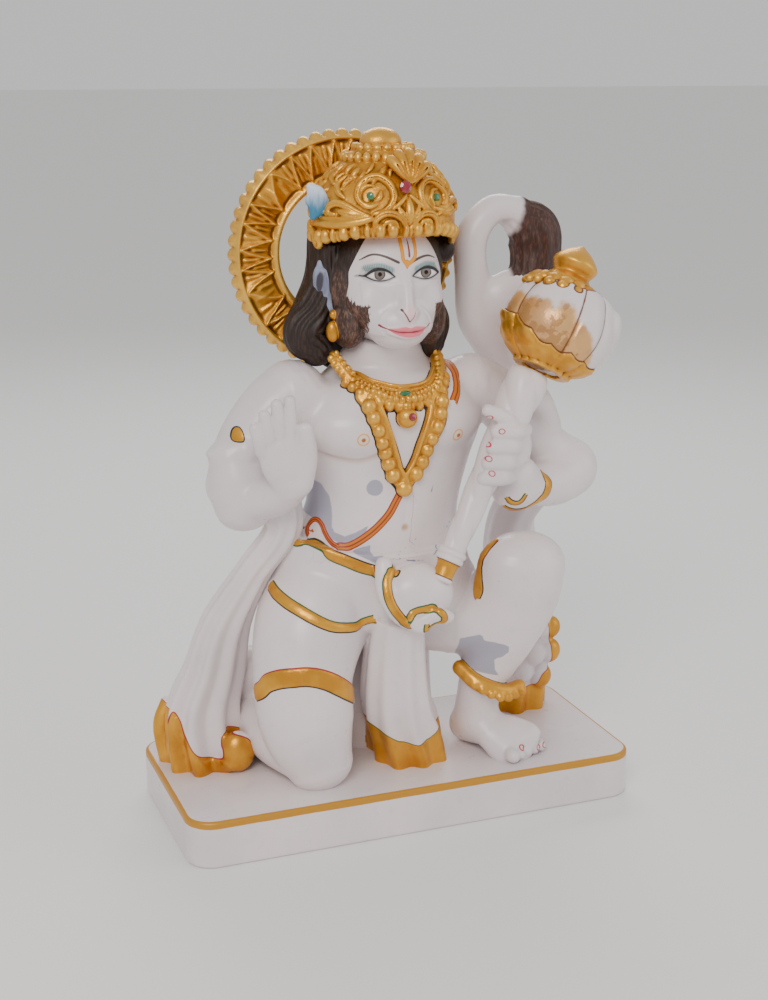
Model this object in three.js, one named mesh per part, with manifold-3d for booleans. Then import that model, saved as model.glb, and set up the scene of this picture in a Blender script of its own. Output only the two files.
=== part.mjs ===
// A marble statue of a kneeling monkey-faced devotional figure with a mace, carved from one block with its plinth.
// Units are millimetres, +Z is up, the figure faces -Y, and the origin is the centre of the plinth's underside.

import * as THREE from "three";
import { mergeVertices } from "three/addons/utils/BufferGeometryUtils.js";
import Module from "manifold-3d";

const wasm = await Module();
wasm.setup();

// Driving sizes
const FIGURE_HEIGHT = 425;
const PLINTH_WIDTH = 318;
const PLINTH_DEPTH = 143;
const PLINTH_HEIGHT = 32;
const PLINTH_CORNER_RADIUS = 18;
const PLINTH_EDGE_ROUND = 2;
const CROWN_RUBY_RADIUS = 3.9;
const CROWN_EMERALD_RADIUS = 2.5;
const PENDANT_RUBY_RADIUS = 2.7;
const NECKLACE_EMERALD_LENGTH = 8.0;
const NECKLACE_EMERALD_WIDTH = 3.8;
const STONE_DEPTH = 1.8;
const STONE_RISE = 1.3;
const STONE_GAP = 0.3;
const BEZEL_WALL = 1.2;
const BEZEL_HEIGHT = 0.6;
const BEZEL_ROOT = 7;

// The figure's points are thousandths of its height, measured from the middle of the plinth's top.
const UNIT = FIGURE_HEIGHT / 1000;
const at = (x, y, z) => new THREE.Vector3(x * UNIT, y * UNIT, z * UNIT + PLINTH_HEIGHT);
const turn = THREE.MathUtils.degToRad;

// Shared corners are merged while the geometry still has its own simple coordinates.
function weld(geometry) {
  geometry.deleteAttribute("normal");
  geometry.deleteAttribute("uv");
  return mergeVertices(geometry, 1e-4);
}

// A closed geometry becomes a solid that can be joined or cut, without its faces of no area.
function solid(geometry) {
  const corners = geometry.index.array;
  const faces = [];
  for (let i = 0; i < corners.length; i += 3) {
    const [a, b, c] = corners.subarray(i, i + 3);
    if (a !== b && b !== c && c !== a) faces.push(a, b, c);
  }
  return new wasm.Manifold(
    new wasm.Mesh({
      numProp: 3,
      vertProperties: new Float32Array(geometry.attributes.position.array),
      triVerts: new Uint32Array(faces),
    }),
  );
}

const join = (pieces) => pieces.flat(3).reduce((whole, piece) => whole.add(piece));

function geometryOf(manifold) {
  const mesh = manifold.getMesh();
  const points = new Float32Array(mesh.numVert * 3);
  for (let i = 0; i < mesh.numVert; i++) {
    points.set(mesh.vertProperties.subarray(i * mesh.numProp, i * mesh.numProp + 3), i * 3);
  }
  return new THREE.BufferGeometry()
    .setAttribute("position", new THREE.BufferAttribute(points, 3))
    .setIndex(new THREE.BufferAttribute(mesh.triVerts, 1));
}

// Rings of points, first to last, become a closed skin with a fan of faces at each end.
function skin(rings, firstTip, lastTip) {
  const sides = rings[0].length;
  const points = [...rings.flat(), firstTip, lastTip];
  const first = points.length - 2;
  const last = points.length - 1;
  const faces = [];
  for (let i = 0; i < sides; i++) {
    const j = (i + 1) % sides;
    faces.push(first, j, i);
    for (let k = 0; k < rings.length - 1; k++) {
      const a = k * sides + i;
      const b = k * sides + j;
      faces.push(a, b, b + sides, a, b + sides, a + sides);
    }
    const base = (rings.length - 1) * sides;
    faces.push(last, base + i, base + j);
  }
  return solid(new THREE.BufferGeometry().setFromPoints(points).setIndex(faces));
}

// A limb runs through stations [x, y, z, half-width, half-depth]. Its ends are round, or flat where caps is 0.
// across is the direction of the half-width, and ridge(angle, t) scales the section into folds.
function limb(stations, { across = [1, 0, 0], sides = 8, caps = [1, 1], ridge = () => 1 } = {}) {
  const spine = new THREE.CatmullRomCurve3(stations.map(([x, y, z]) => at(x, y, z)));
  const sizes = new THREE.CatmullRomCurve3(
    stations.map(([, , , a, b = a]) => new THREE.Vector3(a * UNIT, b * UNIT, 0)),
  );
  const sideways = new THREE.Vector3(...across);
  const ringAt = (t, reach, scale) => {
    const tangent = spine.getTangent(t);
    const size = sizes.getPoint(t);
    const u = sideways.clone().addScaledVector(tangent, -sideways.dot(tangent)).normalize();
    const v = tangent.clone().cross(u);
    const centre = spine.getPoint(t).addScaledVector(tangent, reach * Math.min(size.x, size.y));
    return Array.from({ length: sides }, (_, i) => {
      const angle = (2 * Math.PI * i) / sides;
      const r = scale * ridge(angle, t);
      return centre
        .clone()
        .addScaledVector(u, size.x * r * Math.cos(angle))
        .addScaledVector(v, size.y * r * Math.sin(angle));
    });
  };
  const tipAt = (t, reach) => {
    const size = sizes.getPoint(t);
    return spine.getPoint(t).addScaledVector(spine.getTangent(t), reach * Math.min(size.x, size.y));
  };
  const count = stations.length - 1;
  const rings = caps[0] ? [ringAt(0, -Math.SQRT1_2 * caps[0], Math.SQRT1_2)] : [];
  for (let i = 0; i <= count; i++) rings.push(ringAt(i / count, 0, 1));
  if (caps[1]) rings.push(ringAt(1, Math.SQRT1_2 * caps[1], Math.SQRT1_2));
  return skin(rings, tipAt(0, -caps[0]), tipAt(1, caps[1]));
}

function placed(shape, centre, halves, angles = [0, 0, 0]) {
  const geometry = weld(shape);
  geometry.scale(...halves.map((half) => half * UNIT));
  geometry.applyMatrix4(new THREE.Matrix4().makeRotationFromEuler(new THREE.Euler(...angles.map(turn))));
  const place = at(...centre);
  return solid(geometry.translate(place.x, place.y, place.z));
}

// An ellipsoid with three half-sizes, turned by angles in degrees about X, Y and Z.
function ball(centre, halves, angles, [around, down] = [8, 6]) {
  return placed(new THREE.SphereGeometry(1, around, down).rotateX(Math.PI / 2), centre, halves, angles);
}

// A small carved boss.
function bead(centre, halves, angles) {
  return placed(new THREE.IcosahedronGeometry(1, 0), centre, halves, angles);
}

// A strip of touching bosses along a curve through the given points.
function beadStrip(points, count, [halfWidth, halfDepth], across = [1, 0, 0], pinch = 0.66) {
  const curve = new THREE.CatmullRomCurve3(points.map((p) => new THREE.Vector3(...p)));
  const stations = Array.from({ length: 2 * count - 1 }, (_, i) => {
    const size = i % 2 ? pinch : 1;
    return [...curve.getPointAt(i / (2 * count - 2)).toArray(), halfWidth * size, halfDepth * size];
  });
  return limb(stations, { across, sides: 4, caps: [0, 0] });
}

// Rings of points that close on themselves become a hoop.
function hoop(rings) {
  const sides = rings[0].length;
  const faces = [];
  rings.forEach((_, k) => {
    const here = k * sides;
    const next = ((k + 1) % rings.length) * sides;
    for (let i = 0; i < sides; i++) {
      const j = (i + 1) % sides;
      faces.push(here + i, next + j, here + j, here + i, next + i, next + j);
    }
  });
  return solid(new THREE.BufferGeometry().setFromPoints(rings.flat()).setIndex(faces));
}

// A hoop of touching bosses around a centre; side and front are its two radii as vectors.
function beadHoop(centre, side, front, count, size, thickness) {
  const middle = new THREE.Vector3(...centre);
  const u = new THREE.Vector3(...side);
  const v = new THREE.Vector3(...front);
  const axis = u.clone().cross(v).normalize();
  const rings = Array.from({ length: 2 * count }, (_, k) => {
    const angle = (Math.PI * k) / count;
    const out = u.clone().multiplyScalar(Math.cos(angle)).addScaledVector(v, Math.sin(angle));
    const swell = k % 2 ? 0.7 : 1;
    const outward = out.clone().normalize();
    return [0, 1, 2, 3].map((i) => {
      const a = (i * Math.PI) / 2;
      const p = middle.clone().add(out);
      p.addScaledVector(outward, thickness * swell * Math.cos(a)).addScaledVector(axis, size * swell * Math.sin(a));
      return at(...p.toArray());
    });
  });
  return hoop(rings);
}

// A profile [radius, height] turned about an axis that starts at foot and points along direction.
function turned(profile, foot, direction, segments = 16, flatten = 1, ridge = () => 1) {
  const points = profile.map(([r, h]) => new THREE.Vector2(r * UNIT, h * UNIT));
  const geometry = weld(new THREE.LatheGeometry(points, segments));
  const position = geometry.attributes.position;
  for (let i = 0; i < position.count; i++) {
    const x = position.getX(i);
    const z = position.getZ(i);
    const r = ridge(Math.atan2(x, z), position.getY(i) / UNIT);
    position.setXYZ(i, x * r, position.getY(i), z * r * flatten);
  }
  geometry.rotateX(Math.PI / 2);
  const axis = new THREE.Vector3(...direction).normalize();
  geometry.applyQuaternion(new THREE.Quaternion().setFromUnitVectors(new THREE.Vector3(0, 0, 1), axis));
  const place = at(...foot);
  return solid(geometry.translate(place.x, place.y, place.z));
}

function plinth() {
  const outline = new THREE.Shape();
  const w = PLINTH_WIDTH / 2 - PLINTH_EDGE_ROUND;
  const d = PLINTH_DEPTH / 2 - PLINTH_EDGE_ROUND;
  const r = PLINTH_CORNER_RADIUS - PLINTH_EDGE_ROUND;
  outline.absarc(w - r, d - r, r, 0, Math.PI / 2);
  outline.absarc(-w + r, d - r, r, Math.PI / 2, Math.PI);
  outline.absarc(-w + r, -d + r, r, Math.PI, 1.5 * Math.PI);
  outline.absarc(w - r, -d + r, r, 1.5 * Math.PI, 2 * Math.PI);
  const geometry = new THREE.ExtrudeGeometry(outline, {
    depth: PLINTH_HEIGHT - 2 * PLINTH_EDGE_ROUND,
    bevelThickness: PLINTH_EDGE_ROUND,
    bevelSize: PLINTH_EDGE_ROUND,
    bevelSegments: 1,
    curveSegments: 3,
  });
  return solid(weld(geometry.translate(0, 0, PLINTH_EDGE_ROUND)));
}

function torso() {
  const trunk = limb(
    [
      [-20, 12, 270, 120, 76],
      [-16, 4, 350, 136, 86],
      [-8, -4, 425, 124, 82],
      [-3, -2, 490, 136, 88],
      [0, 4, 555, 160, 90],
      [0, 14, 605, 150, 74],
      [-2, 14, 640, 84, 56],
      [-4, 2, 690, 52, 50],
    ],
    { sides: 10, caps: [0, 0] },
  );
  const upperChest = ball([-3, -26, 580], [120, 62, 60]);
  const chest = [-1, 1].map((side) => ball([side * 70 - 3, -48, 552], [74, 46, 46], [12, 0, side * 14]));
  // The stone left between the legs under the hips is dressed as the back of the waist cloth.
  const back = limb([[-30, 48, 240, 128, 62], [-18, 62, 120, 118, 58], [-10, 66, -6, 120, 58]], { sides: 8, caps: [1, 0] });
  return [trunk, upperChest, chest, back];
}

function head() {
  const cheek = (s) => ball([-5 + s * 50, -50, 742], [34, 34, 38], [0, 0, 0], [6, 5]);
  const ear = (s) => bead([-5 + s * 92, -4, 768], [14, 20, 36], [0, 0, s * -10]);
  const drop = (s) => bead([-5 + s * 94, -16, 702], [11, 11, 18]);
  return [
    ball([-5, -8, 775], [86, 84, 98]),
    ball([-5, -60, 716], [50, 44, 40], [0, 0, 0], [8, 5]),
    limb([[0, -82, 800, 10, 8], [-2, -100, 752, 11, 10], [-4, -106, 728, 14, 9]], { sides: 5, caps: [0, 1] }),
    [-1, 1].map((s) => [cheek(s), ear(s), drop(s)]),
  ];
}

// Hair falls from the crown to the shoulders in waved locks on both sides and behind.
function hair() {
  const locks = (angle, t) => 1 + 0.08 * Math.cos(4 * angle + 4 * t);
  const fall = (stations) => limb(stations, { sides: 8, ridge: locks, caps: [0, 1] });
  const full = fall([
    [-94, 18, 828, 22, 42],
    [-101, 20, 778, 20, 42],
    [-126, 14, 700, 34, 38],
    [-112, 8, 670, 28, 28],
  ]);
  const tucked = fall([
    [66, 18, 828, 24, 42],
    [60, 22, 776, 22, 42],
    [73, 8, 700, 30, 36],
    [69, 2, 672, 26, 28],
  ]);
  const back = limb([[-6, 40, 830, 84, 46], [-6, 48, 740, 92, 44], [-6, 50, 660, 96, 40]], {
    sides: 8,
    ridge: locks,
    caps: [0, 1],
  });
  return [full, tucked, back];
}

// The crown is a tall dome with a boss rim, a palmette over the brow, scrolls, a second tier and a knob.
function crown() {
  const foot = [-8, -6, 820];
  const flatten = 0.84;
  const dome = [
    [0, 0],
    [108, 0],
    [111, 46],
    [95, 92],
    [57, 138],
    [26, 155],
    [24, 166],
    [0, 179],
  ];
  const round = (radius, z, angle) => {
    const a = turn(angle);
    return [foot[0] + radius * Math.sin(a), foot[1] - radius * flatten * Math.cos(a), z];
  };
  const band = (radius, z, count, size, thickness) =>
    beadHoop([foot[0], foot[1], z], [radius, 0, 0], [0, radius * flatten, 0], count, size, thickness);
  const petal = (angle) => {
    const [x, z] = [Math.sin(turn(angle)), Math.cos(turn(angle))];
    const reach = 27 - 0.07 * Math.abs(angle);
    return bead([-3 + x * reach, -89 + z * 6, 916 + z * reach], [9, 13, 24], [-14, angle, 0]);
  };
  const curl = (s, path) =>
    limb(path.map(([radius, z, angle, half]) => [...round(radius, z, s * angle), half, 8]), { sides: 4 });
  const sides = [-1, 1].map((s) => [
    curl(s, [[106, 862, 6, 6], [112, 878, 26, 9], [112, 902, 36, 9], [104, 912, 18, 7]]),
    curl(s, [[108, 856, 36, 6], [114, 876, 58, 10], [108, 902, 66, 9], [96, 924, 50, 6]]),
  ]);
  const feather = bead([-122, -24, 897], [18, 14, 30]);
  const leaf = bead(round(112, 894, 84), [13, 15, 32], [0, -8, 0]);
  return [
    turned(dome, foot, [0, 0, 1], 12, flatten),
    band(104, 836, 14, 15, 14),
    band(58, 958, 6, 12, 12),
    [-62, -30, 0, 30, 62].map(petal),
    sides,
    feather,
    leaf,
  ];
}

// The halo is a ring of raised rays between two rims, with a scalloped outer edge.
function halo() {
  const centre = [-40, 86, 808];
  const scallops = 24;
  const rings = Array.from({ length: 2 * scallops }, (_, k) => {
    const angle = (Math.PI * k) / scallops;
    const edge = k % 2 ? 187 : 178;
    const ray = k % 4 === 0 ? [-8, -18] : [-16, -8];
    const profile = [
      [107, 13],
      [108, -18],
      [120, ray[0]],
      [166, ray[1]],
      [edge - 4, -18],
      [edge - 4, 13],
    ];
    return profile.map(([r, y]) =>
      at(centre[0] + r * Math.sin(angle), centre[1] + y, centre[2] + r * Math.cos(angle)),
    );
  });
  return hoop(rings);
}

function rightArm() {
  const upper = limb(
    [
      [-150, 8, 600, 56, 52],
      [-186, 6, 576, 52, 52],
      [-226, 4, 530, 46, 48],
      [-250, 0, 470, 42, 44],
    ],
    { sides: 8, caps: [0, 0] },
  );
  // The scarf is wound over the bent elbow and hides the forearm.
  const wrapped = limb(
    [
      [-256, -10, 515, 34, 36],
      [-246, -16, 480, 48, 44],
      [-236, -22, 446, 50, 42],
    ],
    { sides: 9 },
  );
  const corner = limb([[-238, -30, 530, 22, 20], [-270, -14, 528, 14, 18], [-286, -6, 524, 6, 14]], {
    across: [0, 0, 1],
    sides: 5,
    caps: [0, 1],
  });
  const forearm = limb([[-236, -30, 452, 40, 36], [-200, -70, 466, 32, 28], [-184, -96, 490, 30, 20]], {
    sides: 6,
    caps: [0, 0],
  });
  const palm = limb([[-184, -98, 480, 26, 15], [-196, -106, 520, 38, 15], [-208, -110, 552, 36, 12]], {
    sides: 8,
    caps: [0.5, 1],
  });
  const fingers = [
    [-236, 546, -247, 582],
    [-223, 552, -233, 600],
    [-208, 556, -214, 614],
    [-193, 552, -194, 618],
  ].map(([x, z, tipX, tipZ]) => limb([[x, -108, z, 10], [tipX, -116, tipZ, 9]], { sides: 4, caps: [0, 1] }));
  const thumb = limb([[-172, -100, 492, 17, 15], [-167, -112, 534, 15, 13], [-174, -123, 578, 11, 10]], {
    sides: 6,
    caps: [0, 1],
  });
  return [upper, wrapped, corner, forearm, palm, fingers, thumb];
}

function leftArm() {
  const upper = limb(
    [
      [146, 8, 596, 50, 50],
      [192, 8, 572, 46, 46],
      [236, 6, 520, 40, 42],
      [286, 0, 472, 45, 44],
      [316, -6, 449, 47, 43],
    ],
    { sides: 8, caps: [0, 1] },
  );
  const forearm = limb(
    [
      [320, -8, 447, 45, 43],
      [278, -34, 436, 40, 38],
      [218, -66, 442, 31, 32],
      [186, -84, 470, 30, 34],
    ],
    { across: [0, 0, 1], sides: 8, caps: [0, 0] },
  );
  const palm = ball([172, -88, 506], [32, 34, 46], [0, 20, 0]);
  const heel = ball([188, -76, 448], [38, 32, 38]);
  const fingers = [0, 1, 2, 3].map((i) => {
    const z = 550 - i * 24;
    const x = 152 - i * 7;
    return limb([[x + 36, -106, z - 6, 12], [x + 8, -130, z - 2, 12], [x - 22, -130, z, 11]], {
      across: [0, 0, 1],
      sides: 4,
    });
  });
  const thumb = limb([[178, -108, 538, 13], [146, -126, 568, 12], [118, -122, 582, 10]], {
    across: [0, 1, 0],
    sides: 5,
    caps: [0, 1],
  });
  return [upper, forearm, palm, heel, fingers, thumb];
}

// The mace leans from the left hip past the shoulder, with a twisted shaft and a lobed head.
function mace() {
  const foot = [38, -134, 326];
  const top = [303, -60, 812];
  const axis = new THREE.Vector3(...top).sub(new THREE.Vector3(...foot));
  const length = axis.length();
  axis.normalize();
  const side = new THREE.Vector3(1, 0, 0).addScaledVector(axis, -axis.x).normalize();
  const front = axis.clone().cross(side);
  const on = (profile, segments, ridge, base = foot) => turned(profile, base, axis.toArray(), segments, 1, ridge);
  const ring = (s, radius, count, size, thickness) => {
    const centre = new THREE.Vector3(...foot).addScaledVector(axis, s).toArray();
    const [u, v] = [side, front].map((d) => d.clone().multiplyScalar(radius).toArray());
    return beadHoop(centre, u, v, count, size, thickness);
  };
  const twist = (angle, h) => 1 + 0.07 * Math.cos(3 * angle + h * 0.09);
  const shaft = [[0, 40]];
  for (let i = 0; i <= 7; i++) shaft.push([17 + i * 2, 46 + i * 42]);
  shaft.push([0, 372]);
  const lobes = (angle) => 0.94 + 0.06 * Math.cos(7 * angle);
  return [
    on([[0, 0], [15, 0], [18, 36], [22, 38], [21, 50], [0, 54]], 8),
    on(shaft, 8, twist),
    on([[0, 354], [48, 360], [75, 380], [88, 412], [85, 446], [64, 484], [0, 504]], 14, lobes, [54, -136, 324]),
    on([[0, 348], [42, 352], [68, 370], [80, 396], [0, 404]], 10, () => 1, [50, -136, 324]),
    ring(486, 54, 7, 12, 13),
    on([[0, 490], [38, 494], [28, 512], [33, 526], [24, 544], [0, length]], 8),
  ];
}

function tail() {
  const rope = limb(
    [
      [96, 50, 520, 34, 28],
      [160, 52, 560, 34, 30],
      [214, 54, 604, 30, 28],
      [206, 56, 650, 33, 28],
      [182, 56, 700, 38, 28],
      [168, 56, 762, 28, 27],
      [168, 56, 822, 28, 27],
      [202, 56, 864, 25, 27],
      [244, 54, 856, 28, 28],
    ],
    { across: [0.8, 0, -0.6], sides: 7, caps: [0, 0] },
  );
  const strands = (angle) => 1 + 0.08 * Math.cos(6 * angle);
  const tuft = limb(
    [
      [244, 54, 856, 30, 28],
      [270, 52, 832, 42, 34],
      [276, 50, 800, 43, 32],
      [269, 44, 765, 38, 30],
      [262, 36, 725, 32, 28],
    ],
    { sides: 12, ridge: strands },
  );
  const web = ball([230, 42, 718], [54, 30, 48]);
  return [rope, tuft, web];
}

function rightScarf() {
  const folds = (angle, t) => 1 + (0.05 + 0.12 * t) * Math.cos(8 * angle);
  const fall = limb(
    [
      [-196, -12, 470, 42, 34],
      [-178, -22, 405, 30, 26],
      [-222, -8, 335, 28, 24],
      [-262, 14, 250, 42, 30],
      [-278, 36, 165, 52, 36],
      [-296, 48, 90, 60, 44],
      [-290, 52, -6, 60, 54],
    ],
    { across: [0.93, 0.37, 0], sides: 16, ridge: folds, caps: [1, 0] },
  );
  const flap = limb([[-340, 92, 92, 16, 12], [-350, 86, 56, 20, 12], [-346, 78, -6, 16, 12]], {
    sides: 6,
    caps: [1, 0],
  });
  const curl = ball([-255, -4, 34], [28, 22, 34]);
  return [fall, flap, curl];
}

function leftScarf() {
  const folds = (angle, t) => 1 + (0.04 + 0.1 * t) * Math.cos(7 * angle);
  return limb(
    [
      [250, -12, 430, 42, 32],
      [226, 10, 370, 40, 28],
      [238, 40, 300, 46, 30],
      [264, 66, 210, 56, 34],
      [284, 76, 130, 60, 38],
      [278, 84, 70, 58, 42],
      [276, 90, -6, 56, 42],
    ],
    { sides: 14, ridge: folds, caps: [0, 0] },
  );
}

function legs() {
  const rightThigh = limb(
    [
      [-92, 10, 300, 96, 92],
      [-142, -36, 235, 88, 84],
      [-164, -64, 165, 78, 72],
      [-162, -80, 95, 74, 62],
      [-146, -88, 34, 54, 46],
    ],
    { sides: 8, caps: [0, 1] },
  );
  const rightShin = limb(
    [
      [-160, -70, 42, 52, 42],
      [-180, -10, 52, 56, 50],
      [-196, 60, 56, 48, 48],
      [-196, 104, 60, 36, 38],
    ],
    { sides: 6, caps: [0, 1] },
  );
  const rightFoot = limb(
    [
      [-206, 78, 140, 38, 36],
      [-206, 100, 80, 36, 32],
      [-200, 112, -6, 38, 28],
    ],
    { sides: 6, caps: [1, 0] },
  );
  const leftThigh = limb(
    [
      [30, 20, 246, 74, 72],
      [90, -16, 222, 62, 58],
      [146, -52, 232, 60, 56],
      [190, -82, 292, 60, 56],
    ],
    { across: [0, 1, 0], sides: 8, caps: [0, 1] },
  );
  const leftShin = limb(
    [
      [198, -90, 318, 70, 54],
      [194, -84, 262, 66, 50],
      [176, -70, 202, 56, 48],
      [158, -56, 150, 46, 42],
      [146, -46, 96, 34, 36],
      [142, -42, 50, 35, 37],
    ],
    { sides: 8, caps: [1, 0] },
  );
  const leftFoot = limb(
    [
      [134, -24, 30, 28, 28],
      [156, -70, 34, 34, 26],
      [182, -104, 20, 44, 18],
      [196, -118, 10, 42, 12],
    ],
    { across: [0.9, -0.45, 0], sides: 6 },
  );
  const toes = [0, 1, 2, 3, 4].map((i) => bead([168 + i * 15, -130 + i * 6, 11], [i ? 10 : 14, 17, i ? 10 : 12]));
  return [rightThigh, rightShin, rightFoot, leftThigh, leftShin, leftFoot, toes];
}

// The waist cloth wraps the hips, with a knotted bunch and a pleat falling to the plinth between the legs.
function garments() {
  const wrap = limb(
    [
      [-24, 16, 250, 152, 98],
      [-24, 10, 278, 178, 114],
      [-24, 6, 320, 168, 106],
      [-20, 0, 372, 150, 98],
    ],
    { across: [0.98, 0, -0.2], sides: 10, caps: [0, 0] },
  );
  const bunch = [
    ball([6, -118, 306], [58, 36, 46]),
    limb([[-46, -108, 352, 13, 12], [-50, -126, 318, 15, 12], [-34, -140, 282, 15, 12], [-2, -150, 262, 14, 12]], {
      sides: 6,
    }),
    limb([[-4, -150, 266, 12, 10], [22, -154, 278, 12, 10], [44, -146, 268, 12, 10]], { sides: 5 }),
  ];
  const folds = (angle, t) => 1 + (0.05 + 0.06 * t) * Math.cos(7 * angle);
  const pleat = limb(
    [
      [-16, -92, 262, 42, 38],
      [-15, -76, 190, 48, 50],
      [-6, -56, 110, 54, 62],
      [16, -36, 50, 58, 70],
      [28, -24, -6, 60, 76],
    ],
    { across: [1, -0.1, 0], sides: 14, ridge: folds, caps: [0, 0] },
  );
  return [wrap, bunch, pleat];
}

function jewellery() {
  const collarLine = [
    [-94, -24, 661],
    [-76, -46, 628],
    [-42, -80, 610],
    [-12, -87, 603],
    [23, -85, 604],
    [52, -74, 613],
    [74, -20, 648],
  ];
  const collar = beadStrip(collarLine, 7, [20, 10], [0, 0.4, 1], 0.82);
  const garland = [-1, 1].map((s) => {
    const line = [[-4 + s * 57, -84, 602], [-4 + s * 40, -96, 552], [-4 + s * 23, -94, 508], [-4 + s * 6, -94, 468]];
    return beadStrip(line, 5, [14, 10]);
  });
  const drop = bead([-6, -96, 462], [15, 12, 14]);
  const pendant = bead([-4, -98, 575], [17, 16, 18]);
  const bangle = limb([[200, -112, 474, 10], [214, -112, 434, 12], [232, -84, 408, 10]], { sides: 4 });
  const ankletLine = [[104, -58, 146], [124, -88, 124], [162, -98, 108], [200, -84, 108]];
  const anklet = beadStrip(ankletLine, 6, [13, 11], [0, 0, 1]);
  return [collar, garland, drop, pendant, bangle, anklet];
}

const figure = join([
  torso(),
  head(),
  hair(),
  crown(),
  halo(),
  rightArm(),
  leftArm(),
  mace(),
  tail(),
  rightScarf(),
  leftScarf(),
  legs(),
  garments(),
  jewellery(),
]);

const marble = new THREE.MeshStandardMaterial({ color: 0xe9e2dc, roughness: 0.35, metalness: 0 });
const red = new THREE.MeshStandardMaterial({ color: 0xa3123c, roughness: 0.1, metalness: 0 });
const green = new THREE.MeshStandardMaterial({ color: 0x1f7a4a, roughness: 0.1, metalness: 0 });

// Each glass stone: its seat on the figure, the way it faces, its half-length and half-width, and its colour.
const stones = [
  ["crown_ruby", [-8, -98, 917], [0, -1, 0.2], CROWN_RUBY_RADIUS, CROWN_RUBY_RADIUS, red],
  ["crown_emerald_right", [-60, -90, 905], [-0.5, -1, 0.3], CROWN_EMERALD_RADIUS, CROWN_EMERALD_RADIUS, green],
  ["crown_emerald_left", [46, -88, 900], [0.5, -1, 0.3], CROWN_EMERALD_RADIUS, CROWN_EMERALD_RADIUS, green],
  ["necklace_emerald", [-5.5, -93, 612], [0, -1, 0.35], NECKLACE_EMERALD_LENGTH / 2, NECKLACE_EMERALD_WIDTH / 2, green],
  ["pendant_ruby", [0, -111, 579], [0.3, -1, 0.3], PENDANT_RUBY_RADIUS, PENDANT_RUBY_RADIUS, red],
];

// A short oval column on a stone's seat, turned from its outline of distances beyond the stone's edge and heights.
function column([, seat, facing, halfLength, halfWidth], outline) {
  const points = outline.map(([beyond, height]) => new THREE.Vector2(Math.max(0, halfLength + beyond), height));
  const geometry = weld(new THREE.LatheGeometry(points, 8));
  const widest = Math.max(...outline.map(([beyond]) => beyond));
  geometry.scale(1, 1, (halfWidth + widest) / (halfLength + widest)).rotateX(Math.PI / 2);
  const direction = new THREE.Vector3(...facing).normalize();
  geometry.applyQuaternion(new THREE.Quaternion().setFromUnitVectors(new THREE.Vector3(0, 0, 1), direction));
  const place = at(...seat);
  return solid(geometry.translate(place.x, place.y, place.z));
}

const straight = (beyond, low, high) => [
  [-Infinity, low],
  [beyond, low],
  [beyond, high],
  [-Infinity, high],
];
const bezel = (stone) => column(stone, straight(STONE_GAP + BEZEL_WALL, -BEZEL_ROOT, BEZEL_HEIGHT));
const pocket = (stone) => column(stone, straight(STONE_GAP, -STONE_DEPTH - STONE_GAP, STONE_RISE + BEZEL_ROOT));
const cabochon = (stone) =>
  column(stone, [
    [-Infinity, -STONE_DEPTH],
    [0, -STONE_DEPTH],
    [0, BEZEL_HEIGHT / 2],
    [-0.4 * stone[3], 0.8 * STONE_RISE],
    [-Infinity, STONE_RISE],
  ]);

const block = join([plinth(), figure, stones.map(bezel)]);
const statue = stones.reduce((whole, stone) => whole.subtract(pocket(stone)), block);

function part(name, shape, material) {
  const mesh = new THREE.Mesh(geometryOf(shape), material);
  mesh.name = name;
  return mesh;
}

const root = new THREE.Group();
root.add(part("hanuman_statue", statue, marble));
stones.forEach((stone) => root.add(part(stone[0], cabochon(stone), stone[5])));

export default root;
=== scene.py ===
import math

import bpy
import numpy as np
import openvdb
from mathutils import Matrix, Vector


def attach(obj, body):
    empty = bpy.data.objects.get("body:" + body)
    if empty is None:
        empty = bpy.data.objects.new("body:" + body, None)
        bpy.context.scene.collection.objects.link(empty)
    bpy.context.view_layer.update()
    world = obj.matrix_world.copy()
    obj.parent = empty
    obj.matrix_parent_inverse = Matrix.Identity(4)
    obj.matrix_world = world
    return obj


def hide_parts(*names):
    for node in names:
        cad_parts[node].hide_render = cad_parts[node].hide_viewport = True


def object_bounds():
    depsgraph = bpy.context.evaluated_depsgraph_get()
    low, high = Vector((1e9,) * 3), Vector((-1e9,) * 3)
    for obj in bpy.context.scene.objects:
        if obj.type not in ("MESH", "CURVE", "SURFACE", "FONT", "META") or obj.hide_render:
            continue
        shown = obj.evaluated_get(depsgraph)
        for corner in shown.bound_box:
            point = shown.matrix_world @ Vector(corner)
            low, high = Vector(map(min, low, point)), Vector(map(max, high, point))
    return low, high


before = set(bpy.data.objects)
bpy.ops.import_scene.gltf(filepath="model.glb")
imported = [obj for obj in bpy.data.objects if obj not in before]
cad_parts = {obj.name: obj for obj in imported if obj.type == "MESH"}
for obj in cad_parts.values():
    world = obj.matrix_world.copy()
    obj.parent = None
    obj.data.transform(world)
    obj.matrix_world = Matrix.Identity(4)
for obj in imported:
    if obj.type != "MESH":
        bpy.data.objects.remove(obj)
cad_low, cad_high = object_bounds()

# Driving sizes, in millimetres. The figure's points are thousandths of its height above the plinth.
MM = 0.001
PLINTH_HEIGHT = 32.0
PLINTH_CORNER_RADIUS = 18.0
PLINTH_EDGE_ROUND = 2.0
CROWN_TOP = 999.0
UNIT = (cad_high.z / MM - PLINTH_HEIGHT) / CROWN_TOP

# Grid steps, and how far a distance is kept beyond the surface
COARSE = 1.2
FINE = 0.5
FACE = 0.42
FAR = 6.0
BODY_TRIANGLES = 190000

# Distances, in millimetres, that stand for a place out of a painted line's reach
UNREACHED = 99.0
ELSEWHERE = 50.0


def to_mm(places):
    """Places in figure units as points in millimetres; the last axis holds x, y and z."""
    return np.asarray(places, float) * UNIT + [0, 0, PLINTH_HEIGHT]


def to_units(points):
    return (np.asarray(points, float) - [0, 0, PLINTH_HEIGHT]) / UNIT


def at(x, y, z):
    return to_mm([x, y, z])


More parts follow.
